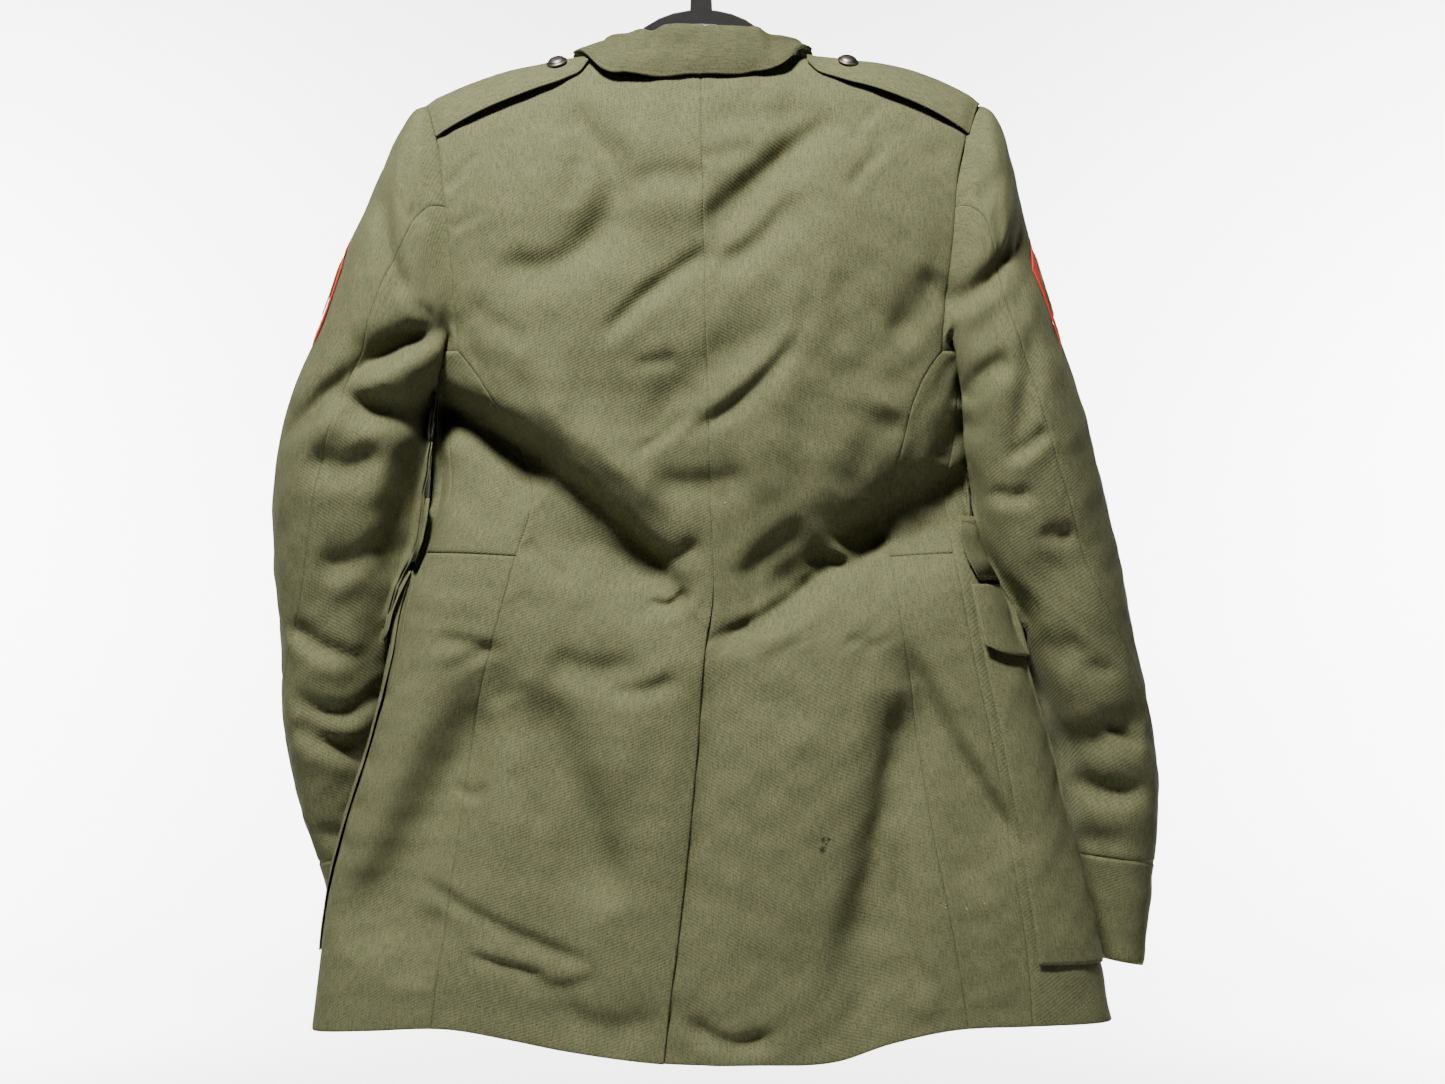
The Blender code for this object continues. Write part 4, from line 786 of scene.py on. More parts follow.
def walled(outer, way, cells, wall):
    """Points and faces of a closed wall: outer face, inner face and soft turned edges."""
    count = len(outer)
    a, b = open_edges(cells, count)
    edge = np.zeros(count, bool)
    edge[a] = True
    edge[b] = True
    trim = (edge * EDGE_TURN * wall)[:, None] * way
    points = np.concatenate([outer - trim, outer - way * wall + trim])
    first = outer[cells[:, 1]] - outer[cells[:, 0]]
    second = outer[cells[:, 3]] - outer[cells[:, 0]]
    out = (np.cross(first, second) * way[cells[:, 0]]).sum()
    turn = slice(None) if out > 0 else slice(None, None, -1)
    side = np.stack([b, a, a + count, b + count], -1)
    return points, np.concatenate([cells[:, turn], (cells + count)[:, ::-1][:, turn], side[:, turn]])


def flat_cut(place, u, cells, around, present):
    """Width, length and area in metres of the cut that shows."""
    rows = slice(None) if present is None else slice(UPPER_ROWS, None)
    wide = u[rows, -1].max()
    if around:
        wide = wide + np.linalg.norm(place[:, 0] - place[:, -1], axis=1).max()
    long = lengths(place, 0)[-1]
    long = long.max() if present is None else long[0]
    flat = (round(float(wide * MM), 3), round(float(long * MM), 3))
    area = float(quads_area(place.reshape(-1, 3), cells) * MM * MM)
    return flat, round(min(area, flat[0] * flat[1]), 4)


def shell(node, place, way, rests_on, cloth="wool", wall=WALL, around=False, present=None, seams=(),
          held="hung", rough=1.0):
    """A thin cloth shell in place of a node: outer places, soft turned edges and the wall inside."""
    rows, columns = place.shape[:2]
    place, u, v = uneven(node, place, way, around, seams, rough)
    cells = grid_cells(rows, columns, around, present)
    points, faces = walled(place.reshape(-1, 3), way.reshape(-1, 3), cells, wall)
    maps = np.tile(np.stack([u.ravel(), v.ravel()], -1) * MM, (2, 1))
    used = np.zeros(len(points), bool)
    used[faces] = True
    faces = list((np.cumsum(used) - 1)[faces])
    thing = mesh_piece(f"{node}_cloth", points[used], faces, MATERIAL[cloth], maps[used])
    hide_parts(node)
    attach(thing, "root")
    flat, area = flat_cut(place, u, cells, around, present)
    SHEETS.append((node, thing, flat, area, held, rests_on))
    GRIDS[node] = (place, way)


def quads_area(points, cells):
    one = np.cross(points[cells[:, 1]] - points[cells[:, 0]], points[cells[:, 2]] - points[cells[:, 0]])
    two = np.cross(points[cells[:, 2]] - points[cells[:, 0]], points[cells[:, 3]] - points[cells[:, 0]])
    return (np.linalg.norm(one, axis=1).sum() + np.linalg.norm(two, axis=1).sum()) / 2


def upper_steps():
    """Shares of the way down from the shoulder to the chest, close together at the top."""
    return (np.arange(UPPER_ROWS + 1) / UPPER_ROWS) ** TOP_CLOSER


def lower_levels():
    """Levels below the chest, with one at the waist seam."""
    first = CHEST + (WAIST - CHEST) * np.linspace(0, 1, WAIST_ROWS + 1)
    second = WAIST + (HEM_LEVEL - WAIST) * closer(SKIRT_ROWS, EVEN_CLOSE)
    return np.concatenate([first, second[1:]])


def back_inner(side, level):
    """Where a back piece begins at the centre: the right one runs on under the vent."""
    across = follow(CENTRE, "across", level) + side * SEAM / 2
    return across - np.interp(-level, -VENT_LAP["level"], VENT_LAP["lap"]) * (side > 0)


def back_grid(side):
    """The back piece on one side, with its way out and the sunk vent lap."""
    share = closer(BACK_COLUMNS)[None, :]
    steps = upper_steps()[:, None]
    tip = sided(ARMHOLE, side, TIP_LEVEL)
    top_x = side * SEAM / 2 + share * (tip - side * SEAM / 2)
    neck = follow(NECK, "height", np.abs(top_x))
    top = np.where(np.abs(top_x) < NECK["across"][-1], neck, follow(RIDGE, "height", top_x))
    inner = back_inner(side, top[:, :1] + (CHEST - top[:, :1]) * steps)
    outer = sided(ARMHOLE, side, top[:, -1:] + (CHEST - top[:, -1:]) * steps)
    x = inner + share * (outer - side * SEAM / 2 - inner)
    edge = np.where(np.abs(x) < NECK["across"][-1], follow(NECK, "height", np.abs(x)),
                    follow(RIDGE, "height", x))
    level = edge + (CHEST - edge) * steps
    low = lower_levels()[1:, None]
    low_x = back_inner(side, low)
    low_x = low_x + share * (sided(BACK_EDGE, side, low) - side * SEAM / 2 - low_x)
    x = np.concatenate([x, low_x])
    level = np.concatenate([level, np.broadcast_to(low, low_x.shape)])
    place, way = face(x, level, False)
    sink = np.zeros(x.shape)
    if side > 0:
        past = follow(CENTRE, "across", level) + LAP_WIDE - x
        sink = UNDER * ease(past, 0, LAP_SLOPE) * ease(-level, *LAP_LEVELS)
    return place, way, -sink


def front_grid(side):
    """The front piece, with the strip that goes on under the arm to the side seam."""
    share = closer(FRONT_COLUMNS)[None, :]
    steps = upper_steps()[:, None]
    tip = sided(ARMHOLE, side, TIP_LEVEL)
    top_level = np.array([[follow(RIDGE, "height", side * NECK["across"][-1])]])
    inner = sided(FRONT_EDGE, side, top_level + (CHEST - top_level) * steps)
    shoulder = follow(RIDGE, "height", np.array([[tip]]))
    outer = sided(ARMHOLE, side, shoulder + (CHEST - shoulder) * steps)
    x = inner + share * (outer - side * SEAM / 2 - inner)
    edge = follow(RIDGE, "height", x)
    level = edge + (CHEST - edge) * steps
    low = lower_levels()[1:, None]
    low_in = sided(FRONT_EDGE, side, low)
    low_x = low_in + share * (side * follow(CORNER, "across", low) - low_in)
    x = np.concatenate([x, low_x])
    level = np.concatenate([level, np.broadcast_to(low, low_x.shape)])
    place, way = face(x, level, True)
    lap = ease(FRONT_LAP - side * x, 0, FRONT_SLOPE) * ease(-level, *FRONT_LEVELS) * (side > 0)
    lift = -UNDER * lap
    last = lower_levels()[:, None]
    start = front_angle(side * follow(CORNER, "across", last), last)
    stop = back_angle(sided(SIDE_EDGE, side, last), last)
    stop = stop + SEAM / 2 / SIDE_REACH
    turn = start + closer(WRAP_COLUMNS)[None, 1:] * (stop - start)
    wrap, wrap_way = ring(side, turn, last)
    blank = np.zeros((UPPER_ROWS, WRAP_COLUMNS, 3))
    place = np.concatenate([place, np.concatenate([blank, wrap])], axis=1)
    way = np.concatenate([way, np.concatenate([blank, wrap_way])], axis=1)
    lift = np.concatenate([lift, np.zeros((len(lift), WRAP_COLUMNS))], axis=1)
    present = np.ones((len(place) - 1, place.shape[1] - 1), bool)
    present[:UPPER_ROWS, FRONT_COLUMNS:] = False
    return place, way, lift, present


def side_grid(side, levels):
    """A narrow side piece between the side-back seam and the side seam."""
    level = levels[:, None]
    gap = SEAM / 2 / SIDE_REACH
    start = back_angle(sided(BACK_EDGE, side, level) + side * SEAM / 2, level)
    stop = back_angle(sided(SIDE_EDGE, side, level), level) - gap
    share = closer(SIDE_COLUMNS)[None, :]
    return ring(side, start + share * (stop - start), level)


def armhole_loop(side):
    """The armhole's edge as a dense loop: back, under the arm, front."""
    tip = sided(ARMHOLE, side, TIP_LEVEL)
    top = float(follow(RIDGE, "height", tip))
    level = top + (CHEST - top) * np.linspace(0, 1, HOLE_POINTS) ** TOP_CLOSER
    across = sided(ARMHOLE, side, level)
    back, _ = face(across, level, False)
    front, _ = face(across, level, True)
    first = back_angle(np.array(across[-1]), CHEST)
    last = front_angle(np.array(across[-1]), CHEST)
    under, _ = ring(side, np.linspace(first, last, UNDER_POINTS)[1:-1], CHEST)
    return np.concatenate([back, under, front[::-1]])


def armhole_at(side, angle):
    """Places on the armhole's edge by the angle from its top, back first, as on a round ring."""
    loop = armhole_loop(side)
    centre = (loop[:, 2].max() + loop[:, 2].min()) / 2
    high, deep = loop[:, 2].max() - centre, loop[:, 1].max()
    turn = np.degrees(np.unwrap(np.arctan2(-loop[:, 1] / deep, (loop[:, 2] - centre) / high)))
    order = np.argsort(turn)
    angle = np.mod(angle, 360.0)
    return np.stack([np.interp(angle, turn[order], loop[order, k], period=360) for k in range(3)], -1)


def clear_of_body(place, side):
    """Arm places moved out of the coat's body where they hang beside it."""
    x, y, z = place[..., 0], place[..., 1], place[..., 2]
    wide = sided(BODY, side, z)
    middle = follow(BODY, "widest", z)
    away = y - middle
    front = away > 0
    square = np.where(front, SQUARE_FRONT, SQUARE_BACK)
    deep = np.where(front, follow(BODY, "front", z) - middle, follow(BODY, "back", z) + middle)
    room = ARM_ROOM + WAIST_ROOM * ease(-z, *WAIST_LEVELS) * ease(y, *WAIST_FRONT)
    beside = ease(FLAP_REACH - np.abs(z + FLAP_LEVEL), 0, FLAP_SLOPE)
    room = room + FLAP_ROOM * beside * ease(y, *FLAP_FRONT)
    share = (np.abs(x / wide) ** square + np.abs(away / deep) ** square) ** (1 / square)
    least = 1 + room / np.minimum(wide, ROOM_BY_DEPTH * deep)
    wanted = least + ((share - least) + np.sqrt((share - least) ** 2 + ROOM_SOFT**2)) / 2
    scale = wanted / np.maximum(share, LEAST_SHARE)
    scale = 1 + (scale - 1) * ease(-z, -CHEST - CLEAR_FROM, -CHEST - CLEAR_FULL)
    return np.stack([x * scale, middle + away * scale, z], -1)


def arm_places(side, along, angle):
    """Places on an arm, by the row of its table and the angle from its outer rail."""
    along, angle = np.broadcast_arrays(np.asarray(along, float), np.asarray(angle, float))
    rows = ARM[side]
    ox, oz, ix, iz, middle, half, turn = (follow(rows, name, along) for name in list(rows)[1:])
    # Under the arm the section is squarer near the armhole, whose lowest part is flat.
    under = ease(-np.cos(np.radians(angle)), *ARMPIT_TURN)
    square = SQUARE_ARM + SQUARE_ARMPIT * under * (1 - ease(along, *ARMPIT_ROWS))
    out = power(np.cos(np.radians(angle)), 2 / square)
    back = power(np.sin(np.radians(angle)), 2 / square)
    on_armhole = np.degrees(np.arctan2(back, out))
    turn = side * np.radians(turn)
    across, away = (ox - ix) / 2 * out, -half * back
    x = (ox + ix) / 2 + across * np.cos(turn) - away * np.sin(turn)
    y = middle + away * np.cos(turn) + across * np.sin(turn)
    z = (oz + iz) / 2 + (oz - iz) / 2 * out
    hanging = clear_of_body(np.stack([x, y, z], -1), side)
    start = armhole_at(side, on_armhole) - np.array([side * ARM_TUCK, 0, 0])
    # The head of the sleeve stands a little above the shoulder.
    head = ease(np.cos(np.radians(on_armhole)), *HEAD_TURN)
    start[..., 2] += ARM_HEAD * head
    hanging[..., 2] += ARM_HEAD * head * (1 - ease(along, *HEAD_ROWS))
    share = ease(along, JOIN_FROM, JOIN_FULL)[..., None]
    share = share - ease(0.0, JOIN_FROM, JOIN_FULL) * (1 - along / JOIN_FULL).clip(0, 1)[..., None]
    return start * (1 - share) + hanging * share


def arm(side, along, angle):
    """Arm places and the way out there."""
    place = arm_places(side, along, angle)
    run = arm_places(side, along + ARM_STEP, angle) - arm_places(side, along - ARM_STEP, angle)
    low = np.asarray(along) < ARM_STEP
    if low.any():
        first = arm_places(side, along + 2 * ARM_STEP, angle) - place
        run = np.where(low[..., None] * np.ones(3, bool), first, run)
    turn = arm_places(side, along, angle + 1.0) - arm_places(side, along, angle - 1.0)
    way = unit(np.cross(turn, run)) * side
    return place, way


def arm_grid(side, first, last, along):
    """A strip of an arm between two seams given by their angle at each row."""
    share = closer(ARM_COLUMNS)[None, :]
    angle = first[:, None] + share * (last - first)[:, None]
    return arm(side, np.broadcast_to(along[:, None], angle.shape), angle)


def shoulder(x, q):
    """Places on the shoulders: q is the way along the cloth from the ridge, back below zero."""
    x, q = np.broadcast_arrays(np.asarray(x, float), np.asarray(q, float))
    drop = SHOULDER_DROP * np.linspace(0, 1, SHOULDER_POINTS) ** 2
    level = np.empty(x.shape)
    for index in np.ndindex(x.shape):
        heights = follow(RIDGE, "height", x[index]) - drop
        deep = depth(np.full(len(drop), x[index]), heights, bool(q[index] > 0))
        far = np.concatenate([[0], np.cumsum(np.hypot(np.diff(deep), np.diff(heights)))])
        level[index] = np.interp(abs(q[index]), far, heights)
    back, back_way = face(x, level, False)
    front, front_way = face(x, level, True)
    which = (q > 0)[..., None]
    return np.where(which, front, back), np.where(which, front_way, back_way)


def collar_lines(count):
    """Seam, crest and edge of the collar from the left end over the neck to the right end."""
    along = np.linspace(-1, 1, count + 1)
    side = np.where(along < 0, -1.0, 1.0)
    at = np.abs(along)
    seam_x = side * follow(COLLAR, "seam_x", at) + NECK_SHIFT * (1 - at)
    seam, seam_way = shoulder(seam_x, follow(COLLAR, "seam_q", at))
    edge_x = side * follow(COLLAR, "edge_x", at) + COLLAR_SHIFT * np.sin(math.pi * at)
    edge, edge_way = shoulder(edge_x, follow(COLLAR, "edge_q", at))
    stand = follow(COLLAR, "stand", at)[:, None]
    for x, deep, width in zip(*CREST_DIPS.values()):
        stand = stand - (deep * np.exp(-(((seam_x - x) / width) ** 2)))[:, None] * (at < DIPS_TO)[:, None]
    lean = unit(seam_way * np.array([1, 1, 0]) + 1e-6)
    return seam, seam_way, stand, lean, edge, edge_way


def strap_places(side, along, share):
    """Outer places of a shoulder strap, which stands off the shoulder between its ends."""
    back, front = follow(STRAP, "back", along), follow(STRAP, "front", along)
    q = back + share * (front - back)
    across = side * (follow(STRAP, "across", along) - STRAP_SLANT * np.abs(q) * (1 - along))
    across = across - STRAP_TUCK * (side > 0) * ease(along, STRAP_TUCK_FROM, 1.0)
    place, way = shoulder(across + NECK_SHIFT * (side > 0), q)
    stand_off = follow(STRAP, "lift", along) * (STRAP_BACK_LIFT - STRAP_TILT * share)
    return place + way * (STRAP_WALL + REST + stand_off)[..., None], way


def pocket_strip(side, top, bottom, rows, gap, wide):
    """A grid on the coat's ring that starts at the side seam and runs forward."""
    level = np.linspace(top, bottom, rows + 1)
    start = back_angle(sided(SIDE_EDGE, side, level), level)
    start = round_the_ring(side, start, level, gap)
    stop = round_the_ring(side, start, level, wide)
    share = np.linspace(0, 1, POCKET_FINE + 1)[None, :]
    angle = start[:, None] + share * (stop - start)[:, None]
    place, way = ring(side, angle, level[:, None])
    place, way = ring(side, angle, level[:, None] + SIDE_TILT * place[..., 0])
    return place, way, share


def belt_strip(side, from_angle, to_angle, columns):
    """A length of belt on the ring."""
    share = np.linspace(0, 1, columns + 1)
    high = np.linspace(BELT_WIDE / 2, -BELT_WIDE / 2, BELT_LINES)[:, None]
    level = BELT_LEVEL + high + 0 * share[None, :]
    angle = (from_angle + share * (to_angle - from_angle))[None, :] + 0 * level
    place, way = ring(side, angle, level)
    place, way = ring(side, angle, level + BELT_TILT * place[..., 0])
    return place + way * (WALL + BELT_ROOM), way


def node_of(kind, side):
    return f"{kind}_{'left' if side < 0 else 'right'}"


def cloth_of(kind, side):
    """What a shell rests on, by the kind and side of the other piece."""
    return [node_of(kind, side) + "_cloth"]


def make_body():
    """Backs, side pieces and fronts."""
    above = np.linspace(CHEST, WAIST + SEAM / 2, WAIST_ROWS + 1)
    below = np.concatenate([[WAIST - SEAM / 2], lower_levels()[WAIST_ROWS + 1:]])
    for side in (-1, 1):
        place, way, lift = back_grid(side)
        shell(node_of("back", side), folded(place, way, lift), way, ["hanger_body"],
              "wool" if side < 0 else "marked", seams=("first", "last"))
        place, way, lift, present = front_grid(side)
        shell(node_of("front", side), folded(place, way, lift), way, ["hanger_body"], present=present,
              seams=("last",))
        for part, rows, edge in (("side_upper", above, "low"), ("side_lower", below, "top")):
            place, way = side_grid(side, rows)
            shell(node_of(part, side), folded(place, way), way, cloth_of("back", side),
                  seams=("first", "last", edge))


def make_arms():
    """Upper and under sleeves, cuffs and chevrons."""
    along = CUFF_FROM * np.linspace(0, 1, ARM_ROWS + 1) ** ARM_CLOSER
    gap = np.degrees(SEAM / 2 / ARM_RADIUS)
    back, front = follow(ARM_SEAM, "back", along), follow(ARM_SEAM, "front", along)
    strips = {"sleeve_upper": (front - 360 + gap, back - gap), "sleeve_under": (back + gap, front - gap)}
    steps = np.linspace(0, 1, ARM_COLUMNS + 1)
    cuff = np.concatenate([a[-1] + steps * (b[-1] - a[-1]) for a, b in strips.values()])[None, :]
    rows = np.linspace(CUFF_FROM - ARM_STEP, CUFF_TO, CUFF_ROWS + 1)[:, None]
    for side in (-1, 1):
        for part, (first, last) in strips.items():
            place, way = arm_grid(side, first, last, along)
            shell(node_of(part, side), folded(place, way), way, cloth_of("back", side),
                  seams=("first", "last", "top", "low"))
        place, way = arm(side, *np.broadcast_arrays(rows, cuff))
        shell(node_of("cuff", side), folded(place, way), way, cloth_of("sleeve_upper", side), around=True,
              seams=("top",))
        make_chevron(side)


def make_chevron(side):
    """A red patch that points up, with one green stripe on it, on the outer arm."""
    share = np.linspace(-1, 1, CHEVRON_COLUMNS + 1)[None, :]
    down = closer(CHEVRON_ROWS)[:, None]
    for name, trim, high, lift, paint in CHEVRONS:
        half = CHEVRON_HALF - trim
        angle = CHEVRON_REAR[side] - CHEVRON_HALF + share * half
        start = CHEVRON_TOP + (1 - high) / 2 - CHEVRON_POINT * (1 - np.abs(share) * half / CHEVRON_HALF)
        along = start + down * high
        place, way = arm(side, along, np.broadcast_to(angle, along.shape))
        shell(node_of(name, side), folded(place, way, lift), way, cloth_of("sleeve_upper", side), paint,
              THIN, held="laid", rough=0.4)


def collar_stand(seam, seam_way, stand, lean):
    """The stand that rises from the neck seam. Returns its upper edge."""
    base = seam + seam_way * (WALL + 2 * REST)
    high = np.linspace(0, 1, STAND_ROWS + 1)[None, :, None]
    place = base[:, None] + high * (stand[:, None] * UP + STAND_LEAN * stand[:, None] * lean[:, None])
    way = np.broadcast_to(lean[:, None], place.shape)
    shell("collar_stand", place, way, ["hanger_body"], held="folded", rough=0.3)
    return place[:, -1]


def fall_edge(edge, edge_way):
    """The fall's outer edge, which climbs unevenly round the back and lies close in its middle."""
    behind = edge_way[:, 1] < 0
    rise = np.interp(edge[:, 0], *COLLAR_RISE.values()) * behind
    higher, higher_way = face(edge[:, 0], edge[:, 2] + rise, False)
    climbs = rise[:, None] > LEAST_RISE
    edge, edge_way = np.where(climbs, higher, edge), np.where(climbs, higher_way, edge_way)
    from_middle = np.abs(edge[:, :1] - CLOSER_MIDDLE)
    nearer = COLLAR_CLOSER * ease(CLOSER_HALF - from_middle, 0, CLOSER_SLOPE) * (edge_way[:, 1:2] < 0)
    return edge + edge_way * (COLLAR_LIFT - nearer)


def make_collar():
    """Stand and fall. The fall turns over the stand in an arc, then runs straight to its edge."""
    seam, seam_way, stand, lean, edge, edge_way = collar_lines(COLLAR_FINE)
    top = collar_stand(seam, seam_way, stand, lean)
    outer = fall_edge(edge, edge_way)
    turn = np.radians(np.linspace(*FALL_ARC))[None, :, None]
    radius = WALL / 2 + REST + WALL
    middle = top - lean * WALL / 2
    arc_way = np.sin(turn) * lean[:, None] + np.cos(turn) * UP
    arc = middle[:, None] + radius * arc_way
    run = closer(FALL_ROWS, EVEN_CLOSE)[2:][None, :, None]
    begin = middle + radius * lean
    full = FALL_FULL * np.sin(np.pi * run) * lean[:, None]
    fall = begin[:, None] * (1 - run) + outer[:, None] * run + full
    fall_way = unit(np.cross(unit(np.gradient(begin, axis=0)), unit(outer - begin)))
    fall_way = fall_way * np.sign((fall_way * lean).sum(-1, keepdims=True))
    place = np.concatenate([arc, fall], axis=1)
    way = np.concatenate([arc_way, np.broadcast_to(fall_way[:, None], fall.shape)], axis=1)
    away = ease(-way[..., 1], *FALL_FACING) * ease(np.arange(place.shape[1]), *CREASED_ROWS)[None, :]
    into = fold_depth(COLLAR_CREASES, place[..., 0], place[..., 2]) * away
    place = place + into[..., None] * INWARD
    shell("collar_fall", place, way, ["collar_stand_cloth"], "collar", held="folded", rough=0.6)


def make_lapel(side):
    levels = np.linspace(LAPEL["level"][0], LAPEL["level"][-1], LAPEL_ROWS + 1)[:, None]
    inner = sided(FRONT_EDGE, side, levels) + side * LAPEL_GAP
    outer = side * np.interp(-levels, -LAPEL["level"], LAPEL["outer"])
    share = closer(STRIP_COLUMNS)[None, :]
    x = inner + share * (outer - inner)
    place, way = face(x, np.broadcast_to(levels, x.shape), True)
    roll = LAPEL_ROLL * np.sin(np.pi * np.clip(share * LAPEL_ROLL_SHARE, 0, 1))
    lift = (WALL + REST + roll) * np.ones_like(x)
    shell(node_of("lapel", side), place + way * lift[..., None], way, cloth_of("front", side),
          wall=STRAP_WALL, held="folded", rough=0.5)


def make_strap(side):
    """A shoulder strap with its button. Its outer end goes into the seam under the sleeve's head."""
    along = closer(STRAP_ROWS, EVEN_CLOSE)[:, None]
    place, way = strap_places(side, *np.broadcast_arrays(along, closer(STRIP_COLUMNS)[None, :]))
    sewn = ease(STRAP_SEWN - along, 0.0, STRAP_SEWN)[..., None]
    place = place - sewn * way * STRAP_SUNK + sewn * np.array([side * STRAP_OUT, 0, 0])
    shell(node_of("strap", side), place, way, cloth_of("back", side), wall=STRAP_WALL, held="laid",
          rough=0.5)
    spot, way = strap_places(side, np.array([STRAP_BUTTON]), np.array([STRAP_BUTTON_SHARE]))
    button(node_of("strap_button", side), spot[0] + way[0] * STRAP_BUTTON_LIFT, way[0], SMALL_BUTTON)


def button(node, spot, way, radius):
    """A domed button with a turned rim, in place of a node."""
    way = way / np.linalg.norm(way)
    first = unit(np.cross(way, UP))
    second = np.cross(way, first)
    turn = np.arange(BUTTON_FINE) * 2 * math.pi / BUTTON_FINE
    circle = np.cos(turn)[:, None] * first + np.sin(turn)[:, None] * second
    points, faces = [], []
    for out, up in zip(*PROFILE.values()):
        points.extend(spot + radius * (out * circle + up * way))
    top = len(points)
    points += [spot + radius * PROFILE["up"][-1] * way, spot]
    for k in range(top):
        n = k // BUTTON_FINE * BUTTON_FINE + (k + 1) % BUTTON_FINE
        last = k >= top - BUTTON_FINE
        faces.append((k, n, top) if last else (k, n, n + BUTTON_FINE, k + BUTTON_FINE))
    faces += [((k + 1) % BUTTON_FINE, k, top + 1) for k in range(BUTTON_FINE)]
    thing = mesh_piece(f"{node}_metal", points, faces, MATERIAL["button"])
    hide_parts(node)
    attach(thing, "root")


def make_pocket(side):
    """A patch pocket with its flap and the flap's button."""
    rests = cloth_of("front", side)
    place, way, share = pocket_strip(side, POCKET_TOP, POCKET_BOTTOM, POCKET_ROWS, POCKET_START, POCKET_WIDE)
    down = np.linspace(0, 1, POCKET_ROWS + 1)[:, None]
    puff = POCKET_PUFF * (np.sin(np.pi * share) * np.sin(np.pi * down)).clip(0, 1) ** 0.5
    full = folded(place, way) + way * (POCKET_LIFT + puff)[..., None]
    shell(node_of("pocket", side), full, way, rests, wall=THIN, held="laid")
    top = POCKET_TOP + FLAP_ABOVE
    place, way, share = pocket_strip(side, top, top - FLAP_DEEP, FLAP_ROWS, FLAP_START, FLAP_WIDE)
    down = np.linspace(0, 1, FLAP_ROWS + 1)[:, None]
    tuck = FLAP_TUCK * down**3 * (np.abs(2 * share - 1) ** 6)
    lift = POCKET_LIFT + THIN + 2 * REST + FLAP_LIFT * ease(down, *FLAP_RISE) + 0 * share
    full = folded(place, way) + way * lift[..., None] + UP * tuck[..., None]
    shell(node_of("flap", side), full, way, rests, wall=THIN, held="laid", rough=0.5)
    at = (FLAP_BUTTON_ROW, POCKET_FINE // 2)
    button(node_of("flap_button", side), full[at] + way[at] * FLAP_BUTTON_LIFT, way[at], SMALL_BUTTON)


def make_belt():
    """The belt's two ends. The right one crosses the middle over the left one and lies on it."""
    for side in (-1, 1):
        start = float(back_angle(sided(SIDE_EDGE, side, BELT_LEVEL), BELT_LEVEL)) + BELT_START
        place, way = belt_strip(side, start, math.pi, BELT_COLUMNS)
        if side > 0:
            over, over_way = belt_strip(-1, math.pi, math.pi - BELT_OVER, BELT_OVER_COLUMNS)
            place = np.concatenate([place[:, :-1], over], axis=1)
            way = np.concatenate([way[:, :-1], over_way], axis=1)
            rise = BELT_RISE * ease(BELT_RISE_FROM - place[..., 0], 0, BELT_SLOPE)
            place = place + way * rise[..., None]
        else:
            place, way = place[:, :-BELT_SHORT], way[:, :-BELT_SHORT]
        shell(node_of("belt", side), place, way, cloth_of("front", -1) + cloth_of("front", 1),
              held="laid", rough=0.3)


def make_front_buttons():
    for i, (x, level, radius) in enumerate(zip(*BUTTONS.values())):
        spot, way = face(np.array([x]), np.array([level]), True)
        button(f"front_button_{i + 1}", spot[0] + way[0] * BUTTON_LIFT, way[0], radius)


def inset(node, edge, far):
    """A line on a piece that keeps a distance from one of its edges, and the way out along it."""
    place, way = GRIDS[node]
    if edge in ("top", "low"):
        place, way = place.swapaxes(0, 1), way.swapaxes(0, 1)
    if edge in ("last", "low"):
        place, way = place[:, ::-1], way[:, ::-1]
    gone = lengths(place, 1)
    at = np.array([np.interp(far, row, np.arange(len(row))) for row in gone])
    low = np.floor(at).astype(int).clip(0, place.shape[1] - 2)
    share = (at - low)[:, None]
    row = np.arange(len(place))
    line = place[row, low] * (1 - share) + place[row, low + 1] * share
    return line, unit(way[row, low] * (1 - share) + way[row, low + 1] * share)


def spindles(name, ends, out, thick, material):
    """Many small spindles through start, middle and end points as one mesh, half sunk in the cloth."""
    ahead = unit(ends[2] - ends[0])
    across = np.cross(ahead, out)
    middle = ends[1] + out * thick * SPINDLE_UP
    high, low = out * thick * SPINDLE_HIGH, out * thick * SPINDLE_SUNK
    corners = [ends[0] - low, middle + across * thick, middle + high, middle - across * thick,
               middle - high, ends[2] - low]
    base = 6 * np.arange(len(out))
    faces = []
    for a, b in ((1, 2), (2, 3), (3, 4), (4, 1)):
        faces.append(np.stack([base, base + b, base + a], -1))
        faces.append(np.stack([base + 5, base + a, base + b], -1))
    thing = mesh_piece(name, np.stack(corners, 1).reshape(-1, 3), list(np.concatenate(faces)), material)
    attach(thing, "root")
    return thing


def stitches(node, lines, every=3.0, long=2.1, thick=0.34):
    """A row of stitches along each line."""
    ends, ways = [[], [], []], []
    for line, way in lines:
        run = np.concatenate([[0], np.cumsum(np.linalg.norm(np.diff(line, axis=0), axis=1))])
        start = np.arange(every, run[-1] - every, every)
        for k, shift in enumerate((0.0, long / 2, long)):
            ends[k].append(np.stack([np.interp(start + shift, run, line[:, n]) for n in range(3)], -1))
        ways.append(unit(np.stack([np.interp(start + long / 2, run, way[:, n]) for n in range(3)], -1)))
    ends = [np.concatenate(part) for part in ends]
    return spindles(f"{node}_stitches", ends, np.concatenate(ways), thick, MATERIAL["thread"])


